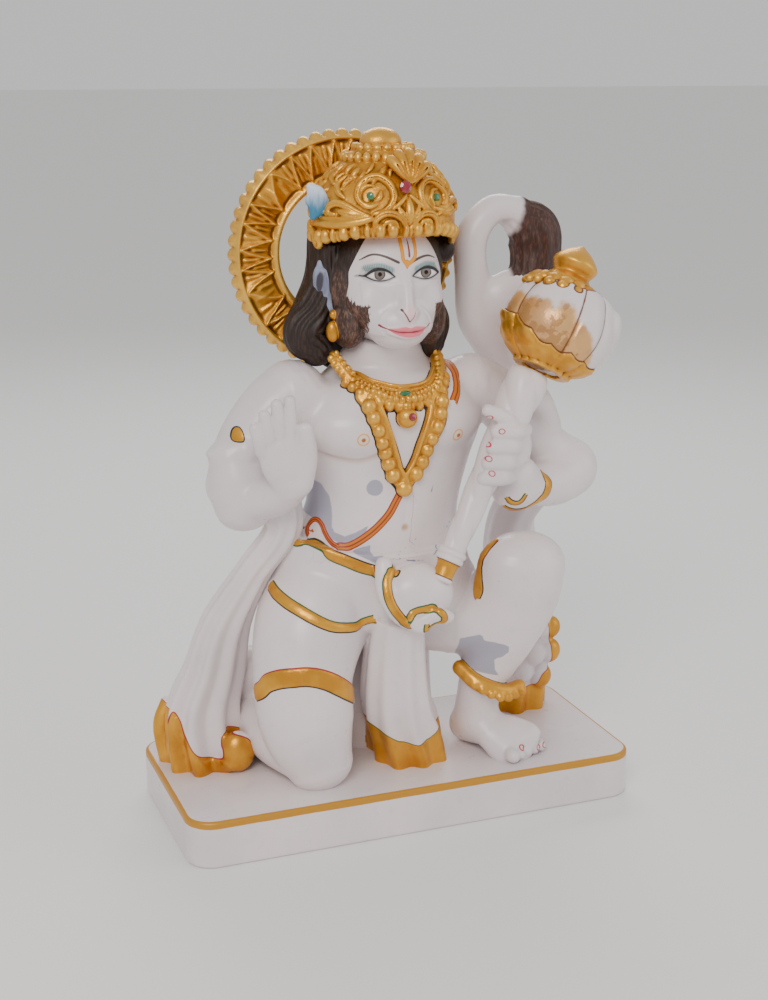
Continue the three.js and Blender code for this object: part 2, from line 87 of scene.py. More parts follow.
def smooth(value, low, high):
    t = np.clip((value - low) / (high - low), 0, 1)
    return t * t * (3 - 2 * t)


def spline(rows, t):
    """Points on a Catmull-Rom curve through the rows, for t from 0 to 1."""
    rows = np.asarray(rows, float)
    last = len(rows) - 1
    padded = np.vstack([2 * rows[0] - rows[1], rows, 2 * rows[-1] - rows[-2]])
    place = np.clip(np.asarray(t, float) * last, 0, last - 1e-9)
    i = place.astype(int)
    f = (place - i)[:, None]
    p0, p1, p2, p3 = (padded[i + k] for k in range(4))
    return 0.5 * (2
        * p1 + (p2 - p0) * f + (2 * p0 - 5 * p1 + 4 * p2 - p3) * f**2 + (3 * p1 - p0 - 3 * p2 + p3) * f**3)


def along(rows, count):
    """Points spread evenly by length over a curve through the rows."""
    fine = spline(rows, np.linspace(0, 1, 40 * len(rows)))
    lengths = np.concatenate([[0], np.cumsum(np.linalg.norm(np.diff(fine[:, :3], axis=0), axis=1))])
    wanted = np.linspace(0, lengths[-1], count)
    return np.column_stack([np.interp(wanted, lengths, column) for column in fine.T])


def unit(v):
    return v / np.linalg.norm(v, axis=-1, keepdims=True)


def limb(stations, across=(1, 0, 0), caps=(1, 1), ridge=None, sides=56, per_span=8):
    """A closed skin through stations [x, y, z, half-width, half-depth], with round or flat ends."""
    rows = np.array([[*s[:4], s[4] if len(s) > 4 else s[3]] for s in stations], float)
    t = np.linspace(0, 1, per_span * (len(rows) - 1) + 1)
    path = spline(rows, t)
    centres = to_mm(path[:, :3])
    sizes = np.maximum(path[:, 3:5], 0.5) * UNIT
    tangents = unit(np.gradient(centres, axis=0))
    side = np.asarray(across, float)
    u = unit(side - tangents * (tangents @ side)[:, None])
    v = np.cross(tangents, u)
    angle = np.linspace(0, 2 * math.pi, sides, endpoint=False)
    rings = []

    def ring(i, reach, scale):
        r = scale * (np.ones(sides) if ridge is None else ridge(angle, t[i]))
        centre = centres[i] + tangents[i] * reach
        return centre + np.outer(sizes[i, 0] * r * np.cos(angle),
            u[i]) + np.outer(sizes[i, 1] * r * np.sin(angle), v[i])

    turns = np.radians([80, 64, 48, 32, 16])
    if caps[0]:
        rings += [ring(0, -caps[0] * sizes[0].min() * math.sin(a), math.cos(a)) for a in turns]
    rings += [ring(i, 0, 1) for i in range(len(t))]
    if caps[1]:
        rings += [ring(-1, caps[1] * sizes[-1].min() * math.sin(a), math.cos(a)) for a in turns[::-1]]
    tips = [centres[0] - tangents[0] * caps[0] * sizes[0].min(),
        centres[-1] + tangents[-1] * caps[1] * sizes[-1].min()]
    return skin(rings, tips)


def skin(rings, tips=None):
    """Faces between rings of points: a closed skin with two tips, or a hoop that meets itself."""
    count, sides = len(rings), len(rings[0])
    points = np.vstack(rings)
    i = np.arange(sides)
    j = (i + 1) % sides
    faces = []
    for k in range(count if tips is None else count - 1):
        a = k * sides
        b = ((k + 1) % count) * sides
        faces.append(np.column_stack([a + i, a + j, b + j]))
        faces.append(np.column_stack([a + i, b + j, b + i]))
    if tips is not None:
        points = np.vstack([points, tips])
        first, last = count * sides, count * sides + 1
        faces.append(np.column_stack([np.full(sides, first), j, i]))
        base = (count - 1) * sides
        faces.append(np.column_stack([np.full(sides, last), base + i, base + j]))
    return points, np.vstack(faces)


def turned(profile, foot, direction=(0, 0, 1), ridge=None, sides=144, flatten=1.0, count=90):
    """A closed skin from a profile [radius, height] turned about an axis, with angle 0 at the front."""
    path = spline(profile, np.linspace(0, 1, count))
    axis = unit(np.asarray(direction, float))
    side = unit(np.array([1.0, 0, 0]) - axis * axis[0])
    front = np.cross(side, axis)
    angle = np.linspace(0, 2 * math.pi, sides, endpoint=False)
    foot = np.asarray(foot, float)
    rings = []
    for radius, height in path[1:-1]:
        r = max(radius, 0.4) * (np.ones(sides) if ridge is None else ridge(angle, height))
        spread = np.outer(r * np.sin(angle), side) + np.outer(r * np.cos(angle) * flatten, front)
        rings.append(to_mm(foot + axis * height + spread))
    return skin(rings, [to_mm(foot + axis * path[k, 1]) for k in (0, -1)])


def volume(points, faces):
    a, b, c = (points[faces[:, k]] for k in range(3))
    return np.einsum("ij,ij->", a, np.cross(b, c)) / 6


def solid_object(name, shape):
    """A Blender object from a closed skin in millimetres, with its faces turned outward."""
    points, faces = shape
    if volume(points, faces) < 0:
        faces = faces[:, ::-1]
    return new_object(name, points * MM, faces)


def off_segment(place, p, q):
    """How far along the line from p to q each place lies, the same held to 0 and 1, and its distance."""
    d = q - p
    along_it = sum((v - a) * b for v, a, b in zip(place, p, d)) / max(d @ d, 1e-9)
    held = np.clip(along_it, 0, 1)
    return along_it, held, np.sqrt(sum((v - a - held * b) ** 2 for v, a, b in zip(place, p, d)))


def linear(values, local):
    """A grid's values at places counted in its steps, by linear steps between its points."""
    i = local.astype(int)
    f = local - i
    total = np.zeros(len(local))
    for corner in range(8):
        o = np.array([(corner >> k) & 1 for k in range(3)])
        j = i + o
        total += np.where(o, f, 1 - f).prod(1) * values[j[:, 0], j[:, 1], j[:, 2]]
    return total


def rotation(angles):
    """The matrix that turns by angles in degrees about X, then Y, then Z, as the solids' angles do."""
    x, y, z = np.radians(angles)
    rx = np.array([[1, 0, 0], [0, math.cos(x), -math.sin(x)], [0, math.sin(x), math.cos(x)]])
    ry = np.array([[math.cos(y), 0, math.sin(y)], [0, 1, 0], [-math.sin(y), 0, math.cos(y)]])
    rz = np.array([[math.cos(z), -math.sin(z), 0], [math.sin(z), math.cos(z), 0], [0, 0, 1]])
    return rx @ ry @ rz


class Field:
    """Signed distances in millimetres on a cubic grid, negative inside the stone."""

    def __init__(self, low, high, step, far=FAR):
        self.step = step
        self.far = far
        self.first = np.floor(at(*low) / step).astype(int)
        last = np.ceil(at(*high) / step).astype(int)
        self.values = np.full(last - self.first + 1, far, np.float32)
        self.parts = {}

    def window(self, low, high):
        """The grid's slices and open coordinate arrays for a box in millimetres."""
        top = self.first + np.array(self.values.shape) - 1
        a = np.clip(np.floor(np.asarray(low) / self.step).astype(int), self.first, top)
        b = np.clip(np.ceil(np.asarray(high) / self.step).astype(int), self.first, top)
        places = tuple(slice(i, j + 1) for i, j in zip(a - self.first, b - self.first))
        axes = [np.arange(i, j + 1, dtype=np.float32) * self.step for i, j in zip(a, b)]
        return a, places, np.meshgrid(*axes, indexing="ij", sparse=True)

    def merge(self, places, distance, blend, cut=False):
        """Joins distances to the stone, or cuts them out, with a soft corner of the given width."""
        sign = -1 if cut else 1
        here = sign * self.values[places]
        h = np.maximum(blend - np.abs(here - distance), 0) / max(blend, 1e-6)
        self.values[places] = sign * (np.minimum(here, distance) - h * h * blend * 0.25)

    def join(self, first, places, distance, blend, part):
        """Joins distances and keeps them under the part's name."""
        self.merge(places, distance, blend)
        if part:
            self.parts.setdefault(part, []).append((first, np.asarray(distance, np.float32)))

    def off_part(self, name, points):
        """The distance from points in millimetres to a named part."""
        nearest = np.full(len(points), FAR)
        for first, values in self.parts[name]:
            local = points / self.step - first
            inside = ((local >= 0) & (local < np.array(values.shape) - 1)).all(1)
            nearest[inside] = np.minimum(nearest[inside], linear(values, local[inside]))
        return nearest

    def add(self, shape, blend=2.0, part=None):
        """Joins a closed skin, with a soft corner of the given width where it meets the stone."""
        points, faces = shape
        step = self.step
        grid = openvdb.FloatGrid.createLevelSetFromPolygons(
            points.astype(np.float32),
            triangles=faces.astype(np.uint32),
            transform=openvdb.createLinearTransform(voxelSize=step),
            halfWidth=self.far / step,
        )
        reach = self.far + step
        first, places, _ = self.window(points.min(0) - reach, points.max(0) + reach)
        distance = np.empty([s.stop - s.start for s in places], np.float32)
        grid.copyToArray(distance, ijk=tuple(int(i) for i in first))
        self.join(first, places, np.clip(distance, -self.far, self.far), blend, part)

    def ball(self, centre, halves, angles=(0, 0, 0), blend=2.0, part=None, cut=False):
        """Joins an ellipsoid, or cuts it out."""
        middle = at(*centre)
        size = np.array(halves) * UNIT
        reach = size.max() + (self.far if not cut else 2 * self.step + blend)
        first, places, (x, y, z) = self.window(middle - reach, middle + reach)
        r = rotation(angles).T
        local = [r[k, 0]
            * (x - middle[0]) + r[k, 1] * (y - middle[1]) + r[k, 2] * (z - middle[2]) for k in range(3)]
        k0 = np.sqrt(sum((p / s) ** 2 for p, s in zip(local, size)))
        k1 = np.sqrt(sum((p / s**2) ** 2 for p, s in zip(local, size)))
        distance = np.clip(k0 * (k0 - 1) / np.maximum(k1, 1e-6), -self.far, self.far)
        if cut:
            self.merge(places, distance, blend, True)
        else:
            self.join(first, places, distance, blend, part)

    def stroke(self, points, radii, blend=0.6, cut=False):
        """A round stroke through points in millimetres, raised from the stone, or cut into it."""
        radii = np.broadcast_to(np.asarray(radii, float), len(points))
        reach = radii.max() + max(2 * self.step, blend) + (0 if cut else min(self.far, 1.5))
        for p, q, rp, rq in zip(points[:-1], points[1:], radii[:-1], radii[1:]):
            _, places, grid = self.window(np.minimum(p, q) - reach, np.maximum(p, q) + reach)
            _, t, away = off_segment(grid, p, q)
            self.merge(places, away - rp - (rq - rp) * t, blend, cut)

    def front(self, x, z):
        """The y, in figure units, where the stone is first met from the front at x and z."""
        places = to_mm(np.column_stack([x, np.zeros(len(x)), z])) / self.step
        i, _, k = np.clip(np.round(places).astype(int) - self.first, 0, np.array(self.values.shape) - 1).T
        columns = self.values[i, :, k]
        j = np.maximum(np.argmax(columns < 0, axis=1), 1)
        rows = np.arange(len(j))
        outer, inner = columns[rows, j - 1], columns[rows, j]
        part = outer / np.maximum(outer - inner, 1e-6)
        return (j - 1 + part + self.first[1]) * self.step / UNIT

    def drape(self, rows, count=24, lift=0.0):
        """Points in millimetres along a curve [x, z] laid on the front of the stone."""
        x, z = spline(rows, np.linspace(0, 1, count)).T
        return to_mm(np.column_stack([x, self.front(x, z) - lift / UNIT, z]))

    def near(self, path, half, reach):
        """The grid's window round a path in millimetres, and the distance there to the path's edge."""
        widths = path[:, 3] if path.shape[1] > 3 else np.full(len(path), float(half))
        path, reach = path[:, :3], widths.max() + reach
        first, places, grid = self.window(path.min(0) - reach, path.max(0) + reach)
        nearest = np.full([s.stop - s.start for s in places], UNREACHED, np.float32)
        for k in range(len(path) - 1):
            _, t, away = off_segment(grid, path[k], path[k + 1])
            nearest = np.minimum(nearest, away - widths[k] - (widths[k + 1] - widths[k]) * t)
        return first, places, nearest, widths.max()

    def emboss(self, rows, lift, half=1.0, soft=0.5, pillow=0.0):
        """Raises a band of stone along a curve in figure units, or sinks it where lift is negative."""
        _, places, nearest, widest = self.near(on_surface(self, rows), half, 2 * soft + 1)
        shape = 1 - smooth(nearest, -soft, soft)
        if pillow:
            shape = shape * (1 - pillow * np.clip(1 + nearest / widest, 0, 1) ** 2)
        self.values[places] -= (lift * shape).astype(np.float32)

    def lay(self, path, under, lift, half=1.0, blend=0.6, rounding=1.2):
        """Joins a strap of stone that lies on another form, whose distances are given on this grid."""
        first, places, nearest, _ = self.near(path, half, self.far)
        slab = under[places] - lift
        h = np.maximum(rounding - np.abs(nearest - slab), 0) / rounding
        strap = np.maximum(nearest, slab) + h * h * rounding * 0.25
        self.join(first, places, np.clip(strap, -self.far, self.far), blend, None)

    def mesh(self, name, most):
        """The surface as a Blender object in metres, thinned to a number of triangles."""
        grid = openvdb.FloatGrid(self.far)
        grid.transform = openvdb.createLinearTransform(voxelSize=self.step)
        grid.copyFromArray(self.values, ijk=tuple(int(i) for i in self.first))
        points, quads = grid.convertToQuads(isovalue=0.0)
        thing = new_object(name, points.astype(np.float32) * MM, quads.astype(np.int32))
        ratio = most / (2 * len(quads))
        if ratio < 1:
            thin = thing.modifiers.new("thin", "DECIMATE")
            thin.ratio = ratio
            thin.use_collapse_triangulate = True
            bpy.context.view_layer.update()
            evaluated = thing.evaluated_get(bpy.context.evaluated_depsgraph_get())
            mesh = bpy.data.meshes.new_from_object(evaluated)
            thing.modifiers.clear()
            thing.data = mesh
        return thing


def curve(rows, spacing=1.5):
    """Points in millimetres spread along a curve; a fourth value is a half-width in millimetres."""
    rows = np.asarray(rows, float)
    points = np.column_stack([to_mm(rows[:, :3]), rows[:, 3:]])
    length = np.linalg.norm(np.diff(points[:, :3], axis=0), axis=1).sum()
    return along(points, max(3, int(length / spacing)))


def regrid(field, first, shape, step):
    """The field's values on another grid, by linear steps along each axis."""
    values = field.values
    for axis in range(3):
        place = (np.arange(shape[axis]) + first[axis]) * step / field.step - field.first[axis]
        place = np.clip(place, 0, values.shape[axis] - 1.001)
        i = place.astype(int)
        f = (place - i).astype(np.float32)
        f = f.reshape([-1 if k == axis else 1 for k in range(3)])
        values = np.take(values, i, axis) * (1 - f) + np.take(values, i + 1, axis) * f
    return values


def distance_at(field, points):
    """The field's value at points in millimetres."""
    local = points / field.step - field.first
    last = np.array(field.values.shape) - 1
    total = linear(field.values, np.clip(local, 0, last - 0.001))
    total[((local < 0) | (local > last)).any(1)] = field.far
    return total


def snap(field, points, lift=0.0):
    """Points in millimetres moved along the field's slope to its surface, and the directions out of it."""
    points = np.array(points, float)
    for _ in range(4):
        slope = np.column_stack([
            distance_at(field, points + step) - distance_at(field, points - step)
            for step in np.eye(3) * 0.8
        ])
        steep = np.linalg.norm(slope, axis=1, keepdims=True)
        slope = np.where(steep > 0.1, slope / np.maximum(steep, 1e-6), 0)
        points -= slope * (distance_at(field, points) - lift)[:, None]
    slope = np.where(steep > 0.1, slope, [0, -0.8, 0.6])
    return points, slope


def on_surface(field, rows, spacing=1.5):
    """Points in millimetres along a curve in figure units, moved onto the field's surface."""
    path = curve(rows, spacing)
    path[:, :3] = snap(field, path[:, :3])[0]
    return path


def curve_distance(points, path, up=(0, 0, 1), reach=9.0):
    """Distances in millimetres to a curve's edge and middle, and the side that each point lies on."""
    half = path[:, 3] if path.shape[1] > 3 else np.zeros(len(path))
    path = path[:, :3]
    edge, middle, side = (np.full(len(points), value) for value in (UNREACHED, UNREACHED, 1.0))
    near = ((points > path.min(0) - reach) & (points < path.max(0) + reach)).all(1)
    p = points[near]
    best = np.full(len(p), UNREACHED)
    width, hand, ends = (np.zeros(len(p)) for _ in range(3))
    for k in range(len(path) - 1):
        a, d = path[k], path[k + 1] - path[k]
        raw, t, away = off_segment(p.T, a, path[k + 1])
        closer = away < best
        best = np.where(closer, away, best)
        width = np.where(closer, half[k] + (half[k + 1] - half[k]) * t, width)
        hand = np.where(closer, np.sign((p - a) @ np.cross(d, np.cross(up, d))), hand)
        past = ((k == 0) & (raw < 0)) | ((k == len(path) - 2) & (raw > 1))
        ends = np.where(closer, past, ends)
    edge[near] = np.where(ends > 0, UNREACHED, best - width)
    middle[near] = best
    side[near] = hand
    return edge, middle, side


def flat_line(x, z, rows, half=0.0, curved=True):
    """Distance in millimetres, seen from the front, to a line [x, z] in figure units, less its half-width."""
    path = np.asarray(rows, float)
    if curved and len(path) > 2:
        path = spline(path, np.linspace(0, 1, 6 * len(path)))
    widths = path[:, 2] if path.shape[1] > 2 else np.full(len(path), half)
    best = np.full(len(x), UNREACHED)
    for k in range(len(path) - 1):
        _, t, away = off_segment((x, z), path[k, :2], path[k + 1, :2])
        best = np.minimum(best, away * UNIT - widths[k] - (widths[k + 1] - widths[k]) * t)
    return best


def flat_area(x, z, rows, rounded=True):
    """Signed distance in millimetres, seen from the front, to an area [x, z]; negative inside."""
    path = np.asarray(rows, float)
    closed = np.vstack([path, path[:1]])
    if rounded:
        wrapped = np.vstack([path[-1:], closed, path[1:2]])
        end = 1 / (len(wrapped) - 1)
        closed = spline(wrapped, np.linspace(end, 1 - end, 6 * len(path)))
        closed[-1] = closed[0]
    away = flat_line(x, z, closed, curved=False)
    inside = np.zeros(len(x), bool)
    for (ax, az), (bx, bz) in zip(closed[:-1], closed[1:]):
        crosses = (az > z) != (bz > z)
        if az != bz:
            inside ^= crosses & (x < (bx - ax) * (z - az) / (bz - az) + ax)
    return np.where(inside, -away, away)


def cavity_of(thing, rounds=2):
    """How far each corner lies below its neighbours, in millimetres: positive in a hollow."""
    mesh = thing.data
    points = corners_of(thing)
    edges = np.empty(len(mesh.edges) * 2, np.int32)
    mesh.edges.foreach_get("vertices", edges)
    a, b = edges.reshape(-1, 2).T
    normals = np.empty(len(points) * 3, np.float32)
    mesh.vertices.foreach_get("normal", normals)
    normals = normals.reshape(-1, 3).astype(float)
    count = np.maximum(np.bincount(a, minlength=len(points)) + np.bincount(b, minlength=len(points)), 1)

    def spread(values):
        return (np.bincount(a, values[b], len(points)) + np.bincount(b, values[a], len(points))) / count

    even = points.copy()
    for _ in range(6):
        even = np.column_stack([spread(even[:, k]) for k in range(3)])
    depth = ((even - points) * normals).sum(1)
    for _ in range(rounds):
        depth = 0.5 * depth + 0.5 * spread(depth)
    return depth


def new_object(name, points, faces):
    """A mesh object from arrays of corners in metres and of equal-sided faces."""
    mesh = bpy.data.meshes.new(name)
    count, sides = faces.shape
    mesh.vertices.add(len(points))
    mesh.vertices.foreach_set("co", np.ascontiguousarray(points, np.float32).ravel())
    mesh.loops.add(count * sides)
    mesh.loops.foreach_set("vertex_index", np.ascontiguousarray(faces, np.int32).ravel())
    mesh.polygons.add(count)
    mesh.polygons.foreach_set("loop_start", np.arange(0, count * sides, sides, dtype=np.int32))
    mesh.update(calc_edges=True)
    thing = bpy.data.objects.new(name, mesh)
    bpy.context.scene.collection.objects.link(thing)
    return thing


def corners_of(thing):
    """The mesh's corners in millimetres."""
    points = np.empty(len(thing.data.vertices) * 3, np.float32)
    thing.data.vertices.foreach_get("co", points)
    return points.reshape(-1, 3).astype(float) / MM


class Marks:
    """The distances that guide the paint, kept on a mesh's corners by name."""

    def __init__(self, thing):
        self.attributes = thing.data.attributes

    def __setitem__(self, name, values):
        attribute = self.attributes.new(name, "FLOAT", "POINT")
        attribute.data.foreach_set("value", np.ascontiguousarray(values, np.float32))


def body_field():
    """The torso, arms, legs and the cloths wound on them."""
    field = Field((-300, -168, -4), (374, 168, 700), COARSE)
    torso(field)
    arms(field)
    legs(field)
    garments(field)
    carving(field)
    return field


def scarves_field():
    """The scarf's two falls from the elbows to the plinth."""
    field = Field((-374, -60, -4), (374, 168, 520), COARSE)
    scarves(field)
    field.emboss([(-344, 20, 88), (-338, 10, 62), (-330, 2, 36), (-318, -4, 16), (-298, -8, 12),
        (-276, -12, 12)], 1.4, 4.6, 0.8, 0.3)
    field.emboss(FRONT_CURL, -1.2, 0.5, 0.7)
    return field


def tail_field():
    field = Field((50, 0, 470), (330, 110, 900), COARSE)
    tail(field)
    return field


def torso(field):
    field.add(limb([
        [-20, 12, 270, 120, 76],
        [-16, 4, 350, 136, 86],
        [-8, -4, 425, 124, 82],
        [-3, -2, 490, 136, 88],
        [0, 4, 555, 160, 90],
        [0, 14, 605, 150, 74],
        [-2, 14, 640, 84, 56],
        [-4, 2, 690, 52, 50],
    ], caps=(0, 0)), part="trunk")
    for s in (-1, 1):
        field.ball((s * 70 - 3, -48, 552), (74, 46, 46), (12, 0, s * 14), blend=5, part="chest")
    field.ball((-3, -26, 580), (120, 62, 60), blend=6, part="chest")
    field.add(limb([[-30, 48, 240, 128, 62], [-18, 62, 120, 118, 58], [-10, 66, -6, 120, 58]], caps=(1, 0)),
        part="back")


def arms(field):
    field.add(limb([
        [-150, 8, 600, 56, 52],
        [-186, 6, 576, 52, 52],
        [-226, 4, 530, 46, 48],
        [-250, 0, 470, 42, 44],
    ], caps=(1, 1)), blend=8, part="right_arm")
    field.add(limb([[-256, -10, 515, 34, 36], [-246, -16, 480, 48, 44], [-236, -22, 446, 50, 42]]),
        part="scarf_right")
    field.add(limb([[-238, -30, 530, 22, 20], [-270, -14, 528, 14, 18], [-286, -6, 524, 6, 14]], (0, 0, 1)),
        part="scarf_right")
    field.add(limb([[-236, -30, 452, 40, 36], [-200, -70, 466, 32, 28], [-184, -96, 490, 30, 20]]),
        part="right_hand")
    field.add(limb([[-184, -98, 480, 26, 15], [-196, -106, 520, 38, 15], [-208, -110, 552, 36, 12]]),
        part="right_hand")
    for x, z, tip_x, tip_z in ((-236, 546, -247, 582), (-223, 552, -233, 600), (-208, 556, -214, 614),
        (-193, 552, -194, 618)):
        field.add(limb([[x, -108, z, 10.5], [(x + tip_x) / 2, -114, (z + tip_z) / 2, 10],
            [tip_x, -114, tip_z, 9]], sides=24), 1.2, "right_hand")
    field.add(limb([[-172, -100, 492, 17, 15], [-167, -112, 534, 15, 13], [-174, -123, 578, 11, 10]]),
        part="right_hand")
    field.add(limb([
        [146, 8, 596, 50, 50],
        [192, 8, 572, 46, 46],
        [236, 6, 520, 40, 42],
        [286, 0, 472, 45, 44],
        [316, -6, 449, 47, 43],
    ]), blend=8, part="left_arm")
    field.add(limb([
        [320, -8, 447, 45, 43],
        [278, -34, 436, 40, 38],
        [218, -66, 442, 31, 32],
        [186, -84, 470, 30, 34],
    ], (0, 0, 1)), blend=6, part="left_arm")
    field.ball((172, -88, 506), (32, 34, 46), (0, 20, 0), part="left_hand")
    field.add(limb([[224, -54, 592, 20, 26], [250, -30, 566, 22, 24], [272, -10, 528, 24, 26]]), 6,
        "left_arm")
    field.ball((188, -76, 448), (40, 34, 40), blend=5, part="left_hand")
    for i in range(4):
        z, x = 550 - i * 24, 152 - i * 7
        field.add(limb([[x + 36, -106, z - 6, 12], [x + 8, -130, z - 2, 12], [x - 22, -130, z, 11]],
            (0, 0, 1), sides=24), 3.2, "left_hand")
    field.add(limb([[178, -108, 538, 13], [146, -126, 568, 12], [118, -122, 582, 10]], (0, 1, 0), sides=24),
        2, "left_hand")


def legs(field):
    field.add(limb([
        [-92, 10, 300, 96, 92],
        [-142, -36, 235, 88, 84],
        [-164, -64, 165, 78, 72],
        [-162, -80, 95, 74, 62],
        [-146, -88, 34, 54, 46],
    ], caps=(0, 1)), part="right_thigh")
    field.add(limb([[-160, -70, 42, 52, 42], [-180, -10, 52, 56, 50], [-196, 60, 56, 48, 48],
        [-196, 104, 60, 36, 38]]), part="right_shin")
    field.add(limb([[-206, 78, 140, 38, 36], [-206, 100, 80, 36, 32], [-200, 112, -6, 38, 28]], caps=(1, 0)),
        part="right_foot")
    field.add(limb([[30, 20, 246, 74, 72], [90, -16, 222, 62, 58], [146, -52, 232, 60, 56],
        [190, -82, 292, 60, 56]], (0, 1, 0)), part="left_thigh")
    field.add(limb([
        [198, -90, 318, 70, 54],
        [194, -84, 262, 66, 50],
        [176, -70, 202, 56, 48],
        [158, -56, 150, 46, 42],
        [146, -46, 96, 34, 36],
        [142, -42, 50, 35, 37],
    ]), blend=10, part="left_shin")
    field.add(limb([[134, -24, 30, 28, 28], [156, -70, 34, 34, 26], [182, -104, 20, 44, 18],
        [196, -118, 10, 42, 12]], (0.9, -0.45, 0)), 6, "left_foot")
    for i in range(5):
        field.ball((168 + i * 15, -130 + i * 6, 11), (9 if i else 12, 16, 10 if i else 12), blend=0.8,
            part="left_foot")


def pleats(a, t):
    return 1 + (0.04 + 0.04 * t) * np.cos(9 * a) - 0.06 * t * np.cos(4 * a)


def folds(waves, depth):
    """A ridge of cloth folds that deepen toward the hem."""
    return lambda a, t: 1 + (depth + 0.1 * t) * np.cos(waves * a)


def garments(field):
    field.add(limb([
        [-24, 16, 250, 152, 98],
        [-24, 10, 278, 178, 114],
        [-24, 6, 320, 168, 106],
        [-20, 0, 372, 150, 98],
    ], (0.98, 0, -0.2), caps=(0, 0), sides=90), 1.5, "wrap")
    field.ball((6, -118, 302), (58, 38, 48), part="bunch")
    field.add(limb([[-46, -108, 352, 13, 12], [-50, -126, 318, 15, 12], [-34, -140, 282, 15, 12],
        [-2, -150, 262, 14, 12]]), 1.5, "bunch")
    field.add(limb([[-4, -150, 266, 12, 10], [22, -154, 278, 12, 10], [44, -146, 268, 12, 10]]), 1.5, "bunch")
    field.add(limb([
        [-16, -92, 262, 42, 38],
        [-15, -76, 190, 48, 50],
        [-6, -56, 110, 54, 62],
        [16, -36, 50, 58, 70],
        [28, -24, -6, 60, 76],
    ], (1, -0.1, 0), (0, 0), pleats, sides=120), 1.5, "pleat")


def carving(field):
    """Raised trims, the thread, creases, and the rings on the left wrist and ankle."""
    field.add(limb([[104, -58, 146, 13, 11], [124, -88, 126, 13, 11], [162, -98, 110, 13, 11],
        [200, -84, 108, 13, 11]], (0, 0, 1), sides=40), 0.8, "anklet")
    for p in along([(104, -66, 142), (124, -97, 121), (160, -108, 104), (200, -93, 103)], 9):
        field.ball(tuple(p), (8, 7, 8), blend=0.8, part="anklet")
    for rows, lift in ((BELT, 1.3), (WRAP_HEM, 1.6), (BUNCH_BAND, 1.8), (SPIRAL, 1.6), (KNEE_HEM, 1.2),
        (WRIST, 0.9), (CUFF, 0.8)):
        field.emboss(rows, lift, 1.0, 0.7, 0.35)
    field.emboss(KNEE_BAND, 1.3, 1.0, 0.8)
    field.emboss(THREAD, 0.9, 1.0, 0.6)
    field.emboss(THREAD_LOOP, 0.9, 1.3, 0.5)
    field.emboss(THREAD_SHOULDER, 0.9, 2.7, 0.6)
    field.emboss(PEC_CREASE, -1.2, 0.6, 1.6)
    field.emboss([(-14, -92, 590), (-6, -88, 520), (-2, -86, 450), (-2, -86, 410)], -0.8, 1.0, 2.5)
    field.emboss([(-2, -87, 402), (-2, -87, 396)], -1.6, 1.0, 1.2)
    field.emboss([(-226, -44, 545), (-206, -40, 590), (-168, -44, 608)], -0.9, 0.4, 1.2)
    for n in NIPPLES:
        field.ball((n[0], n[1] + 1, n[2]), (3.5, 4.5, 3.5), blend=1)


def scarves(field):
    field.add(limb([
        [-196, -12, 470, 42, 34],
        [-178, -22, 405, 30, 26],
        [-222, -8, 335, 28, 24],
        [-262, 14, 250, 42, 30],
        [-278, 36, 165, 52, 36],
        [-296, 48, 90, 60, 44],
        [-290, 52, -6, 60, 54],
    ], (0.93, 0.37, 0), (1, 0), folds(8, 0.05), sides=140), 1.5, "scarf_right")
    field.add(limb([[-340, 92, 92, 16, 12], [-350, 86, 56, 20, 12], [-346, 78, -6, 16, 12]], caps=(1, 0)), 1,
        "scarf_right")
    field.ball((-255, -4, 34), (28, 22, 34), blend=3, part="scarf_right")
    field.add(limb([
        [250, -12, 430, 42, 32],
        [226, 10, 370, 40, 28],
        [238, 40, 300, 46, 30],
        [264, 66, 210, 54, 34],
        [282, 78, 130, 56, 38],
        [276, 84, 70, 54, 42],
        [274, 90, -6, 54, 42],
    ], caps=(0, 0), ridge=folds(7, 0.04), sides=120), 1.5, "scarf_left")
    for x, y, z, r in ((300, 44, 152, 17), (288, 42, 110, 21), (270, 44, 78, 19), (324, 52, 150, 18),
        (322, 50, 108, 20), (306, 50, 64, 20)):
        field.ball((x, y, z), (r, r * 0.8, r * 1.1), blend=1.5, part="scarf_left")


def tail(field):
    field.add(limb([
        [96, 50, 520, 34, 28],
        [160, 52, 560, 34, 30],
        [214, 54, 604, 30, 28],
        [206, 56, 650, 33, 28],
        [182, 56, 700, 38, 28],
        [168, 56, 762, 28, 27],
        [168, 56, 822, 28, 27],
        [202, 56, 862, 26, 27],
        [244, 54, 856, 29, 28],
    ], (0.8, 0, -0.6), (0, 0), per_span=14), 3, "tail")
    field.ball((229, 52, 798), (36, 90, 48), (-15.3, 0, -21.1), blend=3, cut=True)
    field.add(limb([
        [244, 54, 856, 30, 28],
        [270, 52, 832, 44, 34],
        [276, 50, 800, 43, 32],
        [269, 44, 765, 38, 30],
        [262, 36, 725, 32, 28],
    ], ridge=lambda a, t: 1 + 0.035 * np.cos(13 * a + 2 * t), sides=120, per_span=12), 2, "tuft")
    field.ball((236, 42, 722), (60, 30, 50), blend=4, part="web")


# The face, in its own fine grid
FACE_MIDDLE = -5


